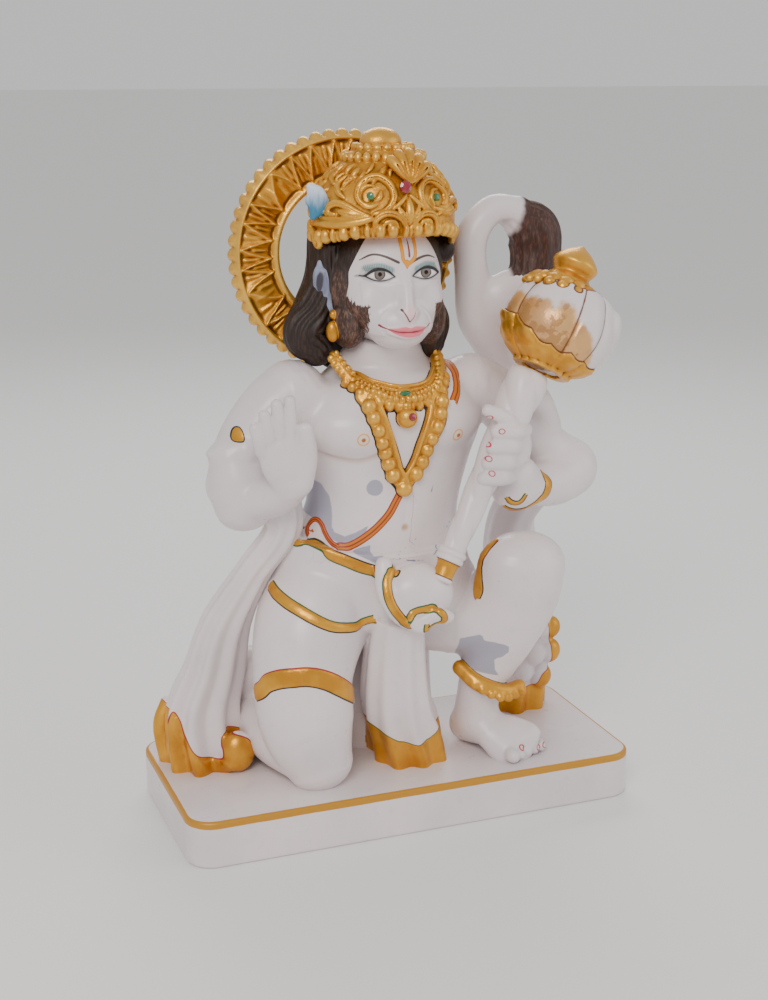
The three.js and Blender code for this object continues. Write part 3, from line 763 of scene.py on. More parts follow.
def face_field():
    """The face and skull, carved on a fine grid."""
    field = Field((-112, -130, 640), (102, 70, 880), FACE, far=4)
    m = FACE_MIDDLE
    field.ball((m, -8, 775), (84, 84, 98))
    for s in (-1, 1):
        field.ball((m + s * 44, -46, 746), (32, 36, 34), blend=5)
    field.ball((m, -58, 716), (52, 48, 37), blend=7)
    field.ball((m, -64, 695), (32, 31, 17), blend=5)
    field.add(limb([[m + 2, -70, 812, 12, 10], [m + 2, -84, 786, 8, 9], [m + 1, -94, 754, 9, 10],
        [m, -103, 731, 11, 9]]), 4)
    for s in (-1, 1):
        field.ball((m + s * 10, -96, 735), (8, 11, 7), blend=2)
        field.ball((m + s * 37, -99, 790), (25, 17, 15), blend=4, cut=True)
        field.ball((m + s * 37, -66, 789.5), (25, 17.5, 13), blend=1)
        upper = field.drape([[m + s * 15.5, 786.5], [m + s * 24, 794.5], [m + s * 37, 798],
            [m + s * 51, 795.5], [m + s * 60, 788.5]], 20)
        lower = field.drape([[m + s * 15.5, 786.5], [m + s * 25, 782], [m + s * 37, 780], [m + s * 50, 782],
            [m + s * 60, 788]], 20)
        field.stroke(upper, taper(20, 0.9, 0.5), 0.6)
        field.stroke(lower, taper(20, 0.6, 0.4), 0.6)
    lips = [[m - 36, 711.5], [m - 18, 711], [m - 7, 711.8], [m, 710.5], [m + 7, 711.8], [m + 18, 711],
        [m + 34, 711.5]]
    field.stroke(field.drape(lips, 24, -0.3), taper(24, 1.6, 0.5), 1.2)
    field.stroke(field.drape([[m - 30, 706], [m - 12, 701.5], [m, 700.5], [m + 12, 701.5], [m + 30, 706]],
        24, -0.3), taper(24, 1.9, 0.5), 1.2)
    mouth = [[m - 41, 715.6], [m - 30, 709.5], [m - 15, 706.5], [m, 706], [m + 14, 706.5], [m + 28, 709],
        [m + 41, 713.5]]
    field.stroke(field.drape(mouth, 30), taper(30, 0.5, 0.3), 0.5, cut=True)
    return field


def taper(count, middle, ends):
    """Radii along a stroke that swells toward its middle."""
    return ends + (middle - ends) * np.sin(np.linspace(0, math.pi, count))


def locks(waves, depth, phase=0.0):
    """A ridge that waves round a lock of hair as it falls."""

    def ridge(a, t):
        strands = depth * np.cos(waves * a + 4 * math.sin(7 * t + phase))
        return 1 + strands + 0.05 * np.cos(4 * a + 4 * t + phase)

    return ridge


def hair_field():
    """The hair, the furred jaw, the ears and their drops."""
    field = Field((-165, -95, 632), (140, 120, 880), FINE)
    m = FACE_MIDDLE
    left = [[m - 89, 16, 832, 22, 42], [m - 96, 20, 778, 20, 42], [m - 110, 18, 730, 28, 40],
        [m - 123, 12, 692, 34, 36], [m - 107, 6, 668, 25, 26]]
    right = [[m + 66, 16, 832, 24, 44], [m + 64, 22, 776, 22, 42], [m + 70, 16, 735, 24, 38],
        [m + 78, 8, 700, 30, 36], [m + 74, 2, 672, 26, 28]]
    for s, rows in ((-1, left), (1, right)):
        field.add(limb(rows, ridge=locks(15, 0.04, s), sides=120, per_span=14, caps=(0, 1)), 2, "hair")
    field.ball((m + 100, 4, 813), (17, 22, 20), blend=3, part="hair")
    field.add(limb([[m - 1, 34, 850, 84, 50], [m - 1, 44, 780, 92, 48], [m - 1, 50, 710, 100, 44],
        [m - 1, 46, 652, 92, 34]], ridge=locks(28, 0.025), sides=180, per_span=14, caps=(0, 1)), 2, "hair")
    field.ball((m, 2, 790), (92, 80, 88), blend=3, part="hair")
    for s in (-1, 1):
        field.ball((m + s * 64, -16, 716), (28, 42, 44), blend=4, part="fur")
        field.ball((m + s * (74 if s < 0 else 62), -14, 764), (20, 34, 44), blend=4, part="fur")
    field.add(limb([
        [m - 104, -9, 801, 4, 4],
        [m - 106, -12, 789, 11, 6],
        [m - 105, -14, 773, 13, 7],
        [m - 99, -17, 756, 9, 6],
        [m - 93, -18, 742, 5, 5],
        [m - 88, -22, 729, 4, 4],
    ], (0.6, -0.8, 0), sides=48), 0.5, "ear")
    field.ball((m - 91, -27, 726), (6, 6, 7), blend=0.4, part="drop")
    field.ball((m - 93, -29, 701), (10, 9, 16), blend=0.4, part="drop")
    field.add(limb([[m + 84, -4, 800, 4, 4], [m + 86, -8, 776, 8, 6], [m + 82, -12, 744, 4, 4]],
        (0.6, 0.8, 0), sides=40), 0.5, "ear")
    return field


# The crown: a dome whose wall is found by angle from the front and by height
CROWN_FOOT = (-8, -6, 820)
CROWN_FLAT = 0.84
CROWN_WALL = spline([[104, 0], [110, 22], [111, 46], [106, 72], [95, 94], [77, 118], [56, 138], [34, 152]],
    np.linspace(0, 1, 120))
CARVING_LIFT = 1.3
CARVING_WIDTH = 1.08
SCROLL_RIGHT = [
    [-25, 879], [-16, 884], [-10, 896], [-9, 910], [-13, 922], [-22, 930], [-32, 928], [-39, 918], [-39, 902],
    [-33, 892], [-26, 893],
]
SCROLL_LEFT = [
    [27, 876], [20, 884], [15.5, 896], [16, 910], [21, 920], [30, 924], [39, 919], [45, 908], [45, 894],
    [40, 885], [34, 885],
]
SIDE_LEAVES = (
    ([[27, 875], [36, 881], [46, 889], [56, 893], [64, 888], [64, 879], [57, 877]], 2.0, 2.4),
    ([[34, 876], [44, 878], [54, 882]], 2.8, 2.0),
    ([[66, 876], [74, 886], [80, 900], [76, 912]], 2.0, 2.2),
    ([[50, 900], [58, 908], [62, 920], [56, 932]], 1.8, 2.2),
    ([[44, 930], [52, 924], [56, 912]], 1.6, 1.8),
    ([[84, 872], [90, 888], [94, 906], [88, 922]], 2.2, 2.4),
    ([[68, 918], [76, 926], [74, 938]], 1.8, 2.0),
    ([[100, 872], [104, 890], [112, 904], [108, 918], [98, 914]], 2.2, 2.4),
)


def on_dome(angle, z, out=0.0):
    """Points in millimetres on the crown's wall, lifted from it by out, in figure units."""
    angle, z = np.radians(np.asarray(angle, float)), np.asarray(z, float)
    radius = np.interp(z - CROWN_FOOT[2], CROWN_WALL[:, 1], CROWN_WALL[:, 0]) + out
    x = CROWN_FOOT[0] + radius * np.sin(angle)
    y = CROWN_FOOT[1] - radius * CROWN_FLAT * np.cos(angle)
    return to_mm(np.column_stack([x, y, z]))


def dome_stroke(field, rows, width, lift, ends=0.45, groove=0.0):
    """A carved stroke on the crown's wall through [angle, z], with an optional groove along its crest."""
    lift, width = CARVING_LIFT * lift, CARVING_WIDTH * width
    count = 6 * len(rows) + 4
    path = spline(rows, np.linspace(0, 1, count))
    radii = taper(count, width, width * ends)
    crest = lift * taper(count, 1, ends)
    field.stroke(on_dome(path[:, 0], path[:, 1], (crest - radii) / UNIT), radii, 0.5)
    if groove:
        top = on_dome(path[:, 0], path[:, 1], crest / UNIT)
        field.stroke(top[2:-2], taper(count - 4, groove, 0.15), 0.3, cut=True)


def dome_ball(field, angle, z, halves, blend, out=0.0, rise=0.0, aside=0.0):
    """A boss on the crown's wall, turned to face outward from it."""
    x, y, _ = to_units(on_dome([angle + aside], [z], out)[0])
    field.ball((x, y, z + rise), halves, (0, 0, angle), blend=blend)


def crown_rim(field):
    """The row of bosses round the crown's foot, lower at the sides, and the curl at each side."""
    for angle in range(-170, 181, 10):
        low = 855 - 13 * smooth(abs(angle), 25, 85)
        pair = angle // 10 % 3 == 0
        dome_ball(field, angle, low, (5.4 if pair else 8.8, 9 if pair else 10, 11.5), 0.4, -3)
        if pair:
            dome_ball(field, angle, low, (4, 7, 10), 0.3, -4, aside=4.4)
    turn = np.linspace(0, 2.3 * math.pi, 26)
    r = 12 - 3.6 * turn / math.pi
    for s in (-1, 1):
        curl = on_dome(s * (82 + r * np.sin(turn) * 0.55), 836 + r * np.cos(turn), 1.5)
        field.stroke(curl, taper(26, 1.9, 1.2), 0.4)
        dome_stroke(field, [[s * 86, 846], [s * 92, 852], [s * 94, 862]], 2.4, 2.4, 0.8)


def crown_front(field):
    """Seen from the front: the cord and its two arches, the lily, and the scrolls round the green stones."""
    for rows, *sizes in (
        ([[-90, 862], [-71, 863], [-52, 863], [-38, 867], [-27, 872]], 2.6, 2.2, 0.7),
        ([[-90, 870], [-71, 871], [-52, 871], [-40, 874], [-30, 877]], 1.2, 1.4, 0.7),
        ([[-24, 856], [-23, 870], [-17, 879], [-10, 879], [-4, 872], [0, 860]], 2.0, 2.4, 0.6, 0.35),
        ([[6, 860], [9, 871], [15, 878], [22, 877], [27, 869], [28, 855]], 2.0, 2.4, 0.6, 0.35),
        ([[3, 864], [3, 880], [3.4, 900]], 2.6, 3.0, 0.35, 0.3),
        ([[2.4, 866], [-2, 876], [-6.5, 890]], 1.8, 2.2, 0.4, 0.3),
        ([[3.6, 866], [8, 876], [12, 889]], 1.8, 2.2, 0.4, 0.3),
        ([[2, 905], [-4, 894], [-11, 884]], 1.2, 1.6, 0.6),
        ([[5, 905], [11, 894], [17, 884]], 1.2, 1.6, 0.6),
        (SCROLL_RIGHT, 2.3, 2.6, 0.4, 0.35),
        (SCROLL_LEFT, 2.3, 2.6, 0.4, 0.35),
    ):
        dome_stroke(field, rows, *sizes)
    for a in (-12, 17.5):
        dome_stroke(field, [[a - 6, 858], [a - 3, 867], [a + 3, 867], [a + 6, 858]], 1.2, 1.4, 0.6)
        dome_stroke(field, [[a - 1, 856], [a, 862], [a + 1, 857]], 1.4, 1.6, 0.8)
    for s, a, z in ((-1, -28.6, 905), (1, 34.9, 897)):
        dome_stroke(field, [[a - 7, z - 9], [a - 9, z + 2], [a - 5, z + 12], [a + 3, z + 13]], 1.2, 1.5, 0.4)
        dome_stroke(field, [[a + 4, z - 8], [a + 8, z - 3], [a + 9, z + 6]], 1.4, 1.6, 0.4)
        dome_stroke(field, [[a + 7 * s, z - 14], [a, z - 16], [a - 7 * s, z - 12]], 1.3, 1.6, 0.4)


def crown_leaves(field):
    """The long curled leaves at each side, the palms at the back and the busy leaves below the tier."""
    for s, base in ((-1, -1), (1, 3)):
        for rows, width, lift in SIDE_LEAVES:
            dome_stroke(field, [[s * a + base, z] for a, z in rows], width, lift, 0.4, 0.3)
    for a in range(120, 241, 24):
        dome_stroke(field, [[a, 866], [a - 3, 890], [a, 912]], 3.0, 2.2, 0.4, 0.35)
        dome_stroke(field, [[a + 12, 868], [a + 13, 884], [a + 9, 900]], 1.8, 1.8, 0.5)
    for k in range(44):
        a = k * 360 / 44
        z = 935 + 7 * math.sin(k * 2.4)
        if not -2 < a < 10:
            rows = [[a - 3, z - 8], [a + 2 * math.sin(k), z], [a + 3, z + 7]]
            dome_stroke(field, rows, 1.4 + 0.4 * math.sin(k * 1.7), 1.7, 0.4)


def crown_tier(field):
    """The two rows of bosses under the knob."""
    for k in range(26):
        dome_ball(field, k * 360 / 26, 955, (6.5, 7, 9), 0.4, rise=2 * math.sin(3 * k))
    for a in range(10, 370, 20):
        dome_ball(field, a, 966, (7, 6, 7), 0.5, -1, 3)


def palmette(field):
    """Five grooved petals that stand up over the ruby."""
    for angle in (-32, -10, 12, 32, 52):
        x, z = math.sin(math.radians(angle)), math.cos(math.radians(angle))
        reach = 43 - 0.1 * abs(angle - 12)
        petal = ((4, 1.0), (0.4 * reach, 2.2), (0.75 * reach, 3.5), (reach, 3.3), (reach + 4, 1.8))
        rows = [[1 + x * r, -91 + 0.62 * z * r * (r / 40), 920 + z * r, w] for r, w in petal]
        path = spline(rows, np.linspace(0, 1, 14))
        points = to_mm(path[:, :3])
        field.stroke(points, path[:, 3], 0.4)
        field.stroke(points[2:-1] - [0, 1, 0] * path[2:-1, 3:4], 0.5, 0.4, cut=True)


def crown_field():
    """The crown: a dome with its carving, the knob on top and the painted feather."""
    field = Field((-150, -122, 812), (130, 108, 1002), FINE)
    dome = [[0, 22], [60, 22], [101, 23], [108, 29], [111, 46], [106, 72], [95, 94], [77, 118], [56, 138],
        [40, 150], [0, 156]]
    field.add(turned(dome, CROWN_FOOT, flatten=CROWN_FLAT), 1)
    crown_rim(field)
    crown_front(field)
    crown_leaves(field)
    crown_tier(field)
    palmette(field)
    field.ball((-12, -6, 976), (32, 27, 22), blend=1)
    feather = [[-132, -30, 917, 5, 4], [-124, -32, 905, 15, 7], [-121, -31, 888, 16, 8],
        [-127, -29, 871, 5, 4]]
    field.add(limb(feather, (0.9, -0.35, 0)), 0.5, "feather")
    return field


# The halo, in figure units
HALO_CENTRE = (-40, 86, 808)
HALO_INNER = 107
HALO_RIM = 176
HALO_TIP = 186
HALO_KNOBS = 52
HALO_RAYS = 27


def halo_relief(angle, facets):
    """How far the zig-zag facets stand out at one angle, from the halo's inner rim to its outer one."""
    place = angle * HALO_RAYS / (2 * math.pi) + 0.2 * math.sin(5 * angle + 1) + 0.13 * math.sin(11 * angle)
    cell = math.floor(place)
    fold = min(place - cell, 1 + cell - place)
    vary = math.sin(cell * 12.9898) * 0.5
    inner = fold < facets / 2
    plane = 1 - 2 * np.abs(fold - facets / 2)
    reach = np.where(inner, facets, 1 - facets)
    gouge = np.exp(-((np.where(inner, fold, 0.5 - fold) / 0.07) ** 2))
    gouge *= smooth(reach, 0.25, 0.5) * (1 - smooth(reach, 0.82, 0.98))
    second = math.exp(-(((fold - 0.25 - 0.1 * vary) / 0.035) ** 2))
    second = second * smooth(reach, 0.3, 0.5) * (1 - smooth(reach, 0.7, 0.9))
    return 1.5 + 6.5 * plane**4 + 2.5 * plane + (3.2 + vary) * gouge + 1.5 * second


def halo():
    """A ring of zig-zag facets between two raised rims, with round knobs on its edge."""
    facets = np.linspace(0, 1, 30)
    x, y, z = HALO_CENTRE
    low, high = HALO_INNER, HALO_RIM
    rings = []
    for angle in np.linspace(0, 2 * math.pi, HALO_KNOBS * 16, endpoint=False):
        knob = abs(math.cos(HALO_KNOBS / 2 * angle))
        edge = high + 3 + (HALO_TIP - high - 3) * knob**0.7
        section = [(low, 13), (low + 6, 14), (high - 6, 14), (high, 12)]
        section += [(edge - 3, 7 * knob + 3), (edge, 0), (edge - 3, -8 * knob - 3)]
        section += [(high, -13), (high - 2, -18), (high - 4, -18.5), (high - 6, -16)]
        relief = halo_relief(angle, facets)[::-1]
        section += [(low + 14 + (high - low - 21) * s, -9 - h) for s, h in zip(facets[::-1], relief)]
        section += [(low + 11, -15), (low + 8, -19), (low + 4, -19.5), (low + 1.5, -17), (low, -10)]
        r, depth = np.array(section).T
        ring = np.column_stack([x + r * math.sin(angle), y + depth, z + r * math.cos(angle)])
        rings.append(to_mm(ring))
    return solid_object("statue_halo", skin(rings))


# The mace leans from its foot by the knee to its knob
MACE_FOOT = np.array([38.0, -134, 326])
MACE_TOP = np.array([303.0, -60, 812])
MACE_LENGTH = float(np.linalg.norm(MACE_TOP - MACE_FOOT))
MACE_AXIS = (MACE_TOP - MACE_FOOT) / MACE_LENGTH
MACE_HEAD = np.array([54.0, -136, 324])
MACE_WALL = [[0, 354], [44, 358], [70, 374], [87, 404], [89, 434], [78, 466], [58, 488], [0, 504]]
MACE_SCRATCH = [(172, 753), (162, 738), (149, 721)]
MACE_MOTTLE = [
    (158, 742), (178, 752), (204, 748), (214, 730), (232, 742), (246, 716), (262, 690), (272, 650), (220,
        632),
    (176, 650), (152, 700),
]
MACE_CREASES = np.radians([-80, -9, 26, 82, 133, 184, 232, 280])


def lobe(angle):
    """0 in a crease of the mace's head and 1 on the back of a lobe, and the angle to the nearest crease."""
    turned_to = (angle - MACE_CREASES[0]) % (2 * math.pi) + MACE_CREASES[0]
    place = np.interp(turned_to, MACE_CREASES, np.arange(len(MACE_CREASES)))
    away = np.min([np.abs(turned_to - c) for c in MACE_CREASES], axis=0)
    return np.abs(np.sin(math.pi * place)) ** 0.55, away


def mace_sides():
    """The directions across the mace, toward +X and to its front."""
    side = unit(np.array([1.0, 0, 0]) - MACE_AXIS * MACE_AXIS[0])
    return side, np.cross(side, MACE_AXIS)


def on_mace(angle, s, radius, base=MACE_FOOT):
    """Points in millimetres round the mace; the angle is in radians from its front toward +X."""
    side, front = mace_sides()
    angle, s, radius = np.broadcast_arrays(*(np.atleast_1d(np.asarray(v, float)) for v in (angle, s, radius)))
    across, ahead = np.outer(radius * np.sin(angle), side), np.outer(radius * np.cos(angle), front)
    return to_mm(base + np.outer(s, MACE_AXIS) + across + ahead)


def mace_collar(field):
    """The collar clasps the head's foot and rises on the outer side, with a scalloped, knotted face."""
    first, places, (x, y, z) = field.window(at(96, -200, 590), at(330, 20, 790))
    base = [(p - q * UNIT) / UNIT for p, q in zip((x, y, z - PLINTH_HEIGHT), MACE_HEAD)]
    s, across, ahead = (sum(p * q for p, q in zip(base, d)) for d in (MACE_AXIS, *mace_sides()))
    angle, radius = np.arctan2(across, ahead), np.hypot(across, ahead)
    rows = spline(MACE_WALL[1:], np.linspace(0, 1, 80))
    wall = np.interp(s, rows[:, 1], rows[:, 0]) * (0.89 + 0.11 * lobe(angle)[0])
    knots = 3.0 * np.abs(np.sin(9 * angle + 0.06 * s)) * np.abs(np.sin((s - 350) / 7.5))
    slab = radius - wall - 2.5 - knots
    edge = s - 382 - 34 * smooth(-np.degrees(angle), 25, 95) + 5 * np.abs(np.sin(7 * angle))
    deep = wall - 12 - radius
    shell = np.maximum(np.maximum(slab, edge), np.maximum(352 - s, deep)) * UNIT * 0.85
    field.join(first, places, np.clip(shell, -FAR, FAR).astype(np.float32), 0.5, "collar")


def mace_field():
    """The mace: twisted shaft with a ringed ferrule, a lobed head with a collar, a wreath and a knob."""
    field = Field((16, -164, 320), (374, 60, 874), FINE)
    axis = tuple(MACE_AXIS)

    def twist(a, h):
        return 0.93 + 0.14 * np.abs(np.cos(1.5 * a + h * 0.0425)) ** 0.8

    shaft = [[0, 38], [16, 40], [18, 60], [21, 140], [26, 240], [31, 340], [0, 350]]
    field.add(turned(shaft, MACE_FOOT, axis, twist, 72, count=160), 1, "shaft")
    ferrule = [[0, 0], [14, 2], [16, 20], [17, 36], [0, 42]]
    field.add(turned(ferrule, MACE_FOOT, axis, sides=72), 0.5, "ferrule")
    for s, r, w in ((2, 13, 2.0), (34, 16, 2.4), (44, 17, 2.4)):
        field.stroke(on_mace(np.linspace(0, 2 * math.pi, 33), s, r), w, 0.5)
    field.add(turned(MACE_WALL, MACE_HEAD, axis, lambda a, h: 0.89 + 0.11 * lobe(a)[0], 240), 0.5, "lobes")
    bulge = to_units(on_mace(math.radians(58), 436, 68, MACE_HEAD)[0])
    field.ball(bulge, (25, 24, 44), (0, 28, 0), blend=1.5, part="lobes")
    mace_collar(field)
    for k in range(17):
        a = 2 * math.pi * k / 17
        for s, r, halves in ((489, 50, (13, 13, 9)), (480, 60, (9, 9, 7))):
            field.ball(to_units(on_mace(a + 0.002 * s, s, r)[0]), halves, blend=0.5, part="wreath")
    knob = [[0, 484], [34, 488], [40, 500], [30, 512], [34, 522], [36, 532], [22, 548], [0, MACE_LENGTH + 4]]
    field.add(turned(knob, MACE_FOOT, axis, sides=96), 0.6, "knob")
    return field


COLLAR = [
    (-73, -42, 630, 5.2), (-58, -66, 619, 6.0), (-39, -77, 612, 6.6), (-12, -84, 605, 7.0),
    (23, -82, 606, 7.0), (48, -72, 614, 6.4), (67, -47, 629, 5.4),
]
COLLAR_ENDS = ([(-70, -45, 629, 12, 7), (-79, -38, 641, 11, 7), (-88, -31, 653, 10, 7),
    (-95, -24, 665, 8, 6)],
               [(64, -50, 627, 12, 7), (72, -34, 637, 11, 7), (76, -18, 650, 10, 7), (75, -6, 662, 8, 6)])
GARLAND_RIGHT = [
    (-64, -74, 609, 5.8), (-55, -81, 596, 6.2), (-49, -90, 575, 6.3), (-40, -94, 547, 6.2),
    (-28, -88, 515, 5.9), (-21, -89, 492, 5.6), (-9, -89, 473, 4.8),
]
GARLAND_LEFT = [
    (60, -72, 609, 6.0), (50, -84, 589, 6.8), (44, -92, 568, 7.0), (33, -94, 543, 6.3), (21, -89, 511, 5.8),
    (9, -89, 489, 5.4), (-3, -89, 473, 4.8),
]


def row_on(body, rows, count, lift, share=0.0):
    """Points in millimetres spaced along a band on the body, moved sideways by a share of its half-width."""
    path = along([(*at(*r[:3]), r[3]) for r in rows], count)
    points, out = snap(body, path[:, :3], 0.0)
    sideways = unit(np.cross(unit(np.gradient(points, axis=0)), out))
    return snap(body, points + sideways * share * path[:, 3:4], lift)


def necklace_field(body):
    """The collar, its pendant and the garland, laid on the chest."""
    field = Field((-120, -142, 432), (92, 40, 690), FINE)
    chest = regrid(body, field.first, field.values.shape, field.step)
    for rows in (COLLAR, GARLAND_RIGHT, GARLAND_LEFT):
        field.lay(on_surface(body, rows), chest, 2.2)
    for s, rows in zip((-1, 1), COLLAR_ENDS):
        field.add(limb(rows, (s * 0.8, 0, 0.6), sides=40), 1.5)
        for p in spline(rows, np.linspace(0, 1, 6)):
            field.ball((p[0] + s * 0.6 * p[3], p[1] - 5, p[2] - 5), (6.5, 5.5, 6.5), blend=0.6)
            field.ball((p[0] - s * 0.3 * p[3], p[1] - 6, p[2] + 3), (4.2, 4.5, 4.8), blend=0.5)
    for rows, radius, lift, share in (
        (COLLAR, 1.2, 2.5, -0.84), (COLLAR, 0.7, 2.3, -0.5),
        (GARLAND_RIGHT, 1.2, 1.9, -0.72), (GARLAND_LEFT, 1.2, 1.9, 0.68),
    ):
        field.stroke(row_on(body, rows, 60, lift, share)[0], radius, 0.4)
    for rows, count, radius, lift, share, vary, trim in (
        (COLLAR, 14, 3.5, 0.4, 0.9, 0.1, 0), (COLLAR, 22, 2.0, 2.0, 0.3, 0.3, 0),
        (COLLAR, 27, 1.3, 2.4, -0.12, 0.35, 0),
        (GARLAND_RIGHT, 9, 4.6, 1.0, 0.4, 0.08, 1), (GARLAND_LEFT, 9, 4.7, 1.0, -0.36, 0.08, 1),
    ):
        points, _ = row_on(body, rows, count, lift, share)
        for k, p in enumerate(points[trim:count - trim]):
            r = radius * (1 + vary * math.sin(5.3 * k + 1)) / UNIT
            field.ball(to_units(p), (r, r, r * (1 + vary)), blend=0.5)
    for centre, halves, angles, blend in (
        ((-6, -92, 464), (13, 11, 13), (0, 45, 0), 0.8),
        ((-5.5, -86, 611), (14, 6.5, 8.5), (0, 0, 0), 0.8),
        ((-4, -92, 593), (9, 10, 8), (0, 0, 0), 0.6),
        ((-4, -96, 575), (16, 15, 16.5), (0, 0, 0), 0.8),
        ((0, -104, 579), (9.5, 6, 9.5), (0, 0, 0), 0.5),
    ):
        field.ball(centre, halves, angles, blend)
    return field


def srgb(r, g, b):
    """A linear colour from the 0 to 255 values of a screen colour."""
    return tuple((v / 255 / 12.92 if v <= 10 else ((v / 255 + 0.055) / 1.055) ** 2.4) for v in (r, g, b))


GOLD = srgb(226, 164, 56)
BLACK = srgb(34, 28, 26)
GREEN = srgb(38, 88, 44)
RED = srgb(160, 34, 34)
HAIR = srgb(34, 22, 17)
HAIR_LIGHT = srgb(64, 42, 31)


class Paint:
    """A painted marble material, built up in layers over the stone."""

    def __init__(self, name):
        self.material = bpy.data.materials.new(name)
        self.material.use_nodes = True
        self.tree = self.material.node_tree
        self.shader = self.tree.nodes["Principled BSDF"]
        self.place = self.node("ShaderNodeTexCoord").outputs["Object"]
        self.noises = {}
        cloud = self.noise(14, 3)
        fine = self.noise(90, 4)
        self.colour = self.blend(self.steps(cloud, 0.35, 0.65), srgb(234, 223, 222), srgb(222, 212, 214))
        self.colour = self.blend(self.times(self.steps(fine, 0.55, 0.75), 0.25), self.colour,
            srgb(205, 198, 208))
        self.rough = self.mix_values(fine, 0.24, 0.34)
        self.metal = 0.0
        self.height = self.times(self.noise(500, 2), 0.12)
        self.glow = 1.0

    def node(self, kind, **settings):
        node = self.tree.nodes.new(kind)
        for key, value in settings.items():
            setattr(node, key, value)
        return node

    def feed(self, socket, value):
        if isinstance(value, bpy.types.NodeSocket):
            self.tree.links.new(value, socket)
        elif isinstance(value, tuple) and len(value) == 3 and len(getattr(socket, "default_value", ())) == 4:
            socket.default_value = (*value, 1)
        else:
            socket.default_value = value

    def math(self, operation, *values):
        node = self.node("ShaderNodeMath", operation=operation)
        for socket, value in zip(node.inputs, values):
            self.feed(socket, value)
        return node.outputs[0]

    def times(self, a, b):
        return self.math("MULTIPLY", a, b)

    def plus(self, a, b):
        return self.math("ADD", a, b)

    def steps(self, value, low, high):
        """0 below low and 1 above high, with a soft step between; the other way round where high is lower."""
        node = self.node("ShaderNodeMapRange", interpolation_type="SMOOTHSTEP")
        flip = high < low
        self.feed(node.inputs["Value"], value)
        node.inputs["From Min"].default_value = min(low, high)
        node.inputs["From Max"].default_value = max(low, high)
        node.inputs["To Min"].default_value = 1.0 if flip else 0.0
        node.inputs["To Max"].default_value = 0.0 if flip else 1.0
        return node.outputs["Result"]

    def blend(self, part, a, b):
        node = self.node("ShaderNodeMix", data_type="RGBA")
        self.feed(node.inputs["Factor"], part)
        for socket, value in ((node.inputs[6], a), (node.inputs[7], b)):
            self.feed(socket, value)
        return node.outputs[2]

    def mix_values(self, part, a, b):
        node = self.node("ShaderNodeMix", data_type="FLOAT")
        self.feed(node.inputs["Factor"], part)
        self.feed(node.inputs[2], a)
        self.feed(node.inputs[3], b)
        return node.outputs[0]

    def noise(self, scale, detail=3, stretch=(1, 1, 1)):
        key = (scale, detail, stretch)
        if key not in self.noises:
            place = self.place
            if stretch != (1, 1, 1):
                turn = self.node("ShaderNodeMapping")
                self.feed(turn.inputs["Vector"], place)
                turn.inputs["Scale"].default_value = stretch
                place = turn.outputs[0]
            node = self.node("ShaderNodeTexNoise")
            self.feed(node.inputs["Vector"], place)
            node.inputs["Scale"].default_value = scale
            node.inputs["Detail"].default_value = detail
            self.noises[key] = node.outputs["Fac"]
        return self.noises[key]

    def attribute(self, name):
        return self.node("ShaderNodeAttribute", attribute_name=name).outputs["Fac"]

    def away(self, *middles, stretch=(1, 1, 1)):
        """The distance in millimetres to the nearest of some points of the figure."""
        nearest = None
        for middle in middles:
            gap = self.node("ShaderNodeVectorMath", operation="SUBTRACT")
            self.feed(gap.inputs[0], self.place)
            gap.inputs[1].default_value = tuple(at(*middle) * MM)
            scaled = self.node("ShaderNodeVectorMath", operation="MULTIPLY")
            self.feed(scaled.inputs[0], gap.outputs[0])
            scaled.inputs[1].default_value = tuple(s / MM for s in stretch)
            length = self.node("ShaderNodeVectorMath", operation="LENGTH")
            self.feed(length.inputs[0], scaled.outputs[0])
            far = length.outputs["Value"]
            nearest = far if nearest is None else self.math("MINIMUM", nearest, far)
        return nearest

    def wobbly(self, name, wobble, scale=220):
        """A painted distance with the unevenness of a hand-held brush."""
        value = self.attribute(name) if isinstance(name, str) else name
        return self.plus(value, self.times(self.plus(self.noise(scale, 2), -0.5), 2 * wobble))

    def below(self, name, edge=0.0, soft=0.12, wobble=0.12, scale=220):
        return self.steps(self.wobbly(name, wobble, scale), edge + soft, edge - soft)

    def band(self, name, low, high, soft=0.12, wobble=0.12, scale=220):
        value = self.wobbly(name, wobble, scale)
        return self.times(self.steps(value, low - soft, low + soft),
            self.steps(value, high + soft, high - soft))

    def layer(self, mask, colour, rough=0.45, metal=0.0, height=None, strength=1.0):
        if strength != 1.0:
            mask = self.times(mask, strength)
        self.colour = self.blend(mask, self.colour, colour)
        self.rough = self.mix_values(mask, self.rough, rough)
        if metal or self.metal != 0.0:
            self.metal = self.mix_values(mask, self.metal, metal)
        if height is not None:
            self.height = self.mix_values(mask, self.height, height)
        self.glow = self.mix_values(mask, self.glow, 0.0) if strength == 1.0 else self.glow

    def gold(self, mask, cavity=None):
        """Gold leaf over brown size: brown where the leaf has worn thin and, given a cavity attribute, brown
        in the hollows that is partly the size and partly painted shade, and a painted highlight on raised
        tops.
        """
        worn = self.steps(self.noise(260, 4), 0.62, 0.8)
        tone = self.blend(self.steps(self.noise(45, 3), 0.35, 0.7), GOLD, srgb(202, 136, 38))
        tone = self.blend(self.times(worn, 0.5), tone, srgb(164, 102, 30))
        rough = self.mix_values(self.noise(150, 3), 0.28, 0.42)
        if cavity:
            # Painted shade in the hollows, partly the brown size showing there
            deep = self.steps(self.attribute(cavity), 0.05, 0.42)
            tone = self.blend(self.times(deep, 0.88), tone, srgb(92, 50, 14))
            # Painted highlight on the raised tops
            high = self.steps(self.attribute(cavity), -0.06, -0.4)
            tone = self.blend(self.times(high, 0.35), tone, srgb(255, 214, 112))
            rough = self.mix_values(deep, rough, 0.6)
        grain = self.plus(self.times(self.noise(900, 2), 0.5), self.times(self.noise(240, 3), 0.9))
        self.layer(mask, tone, rough, 0.7, grain)

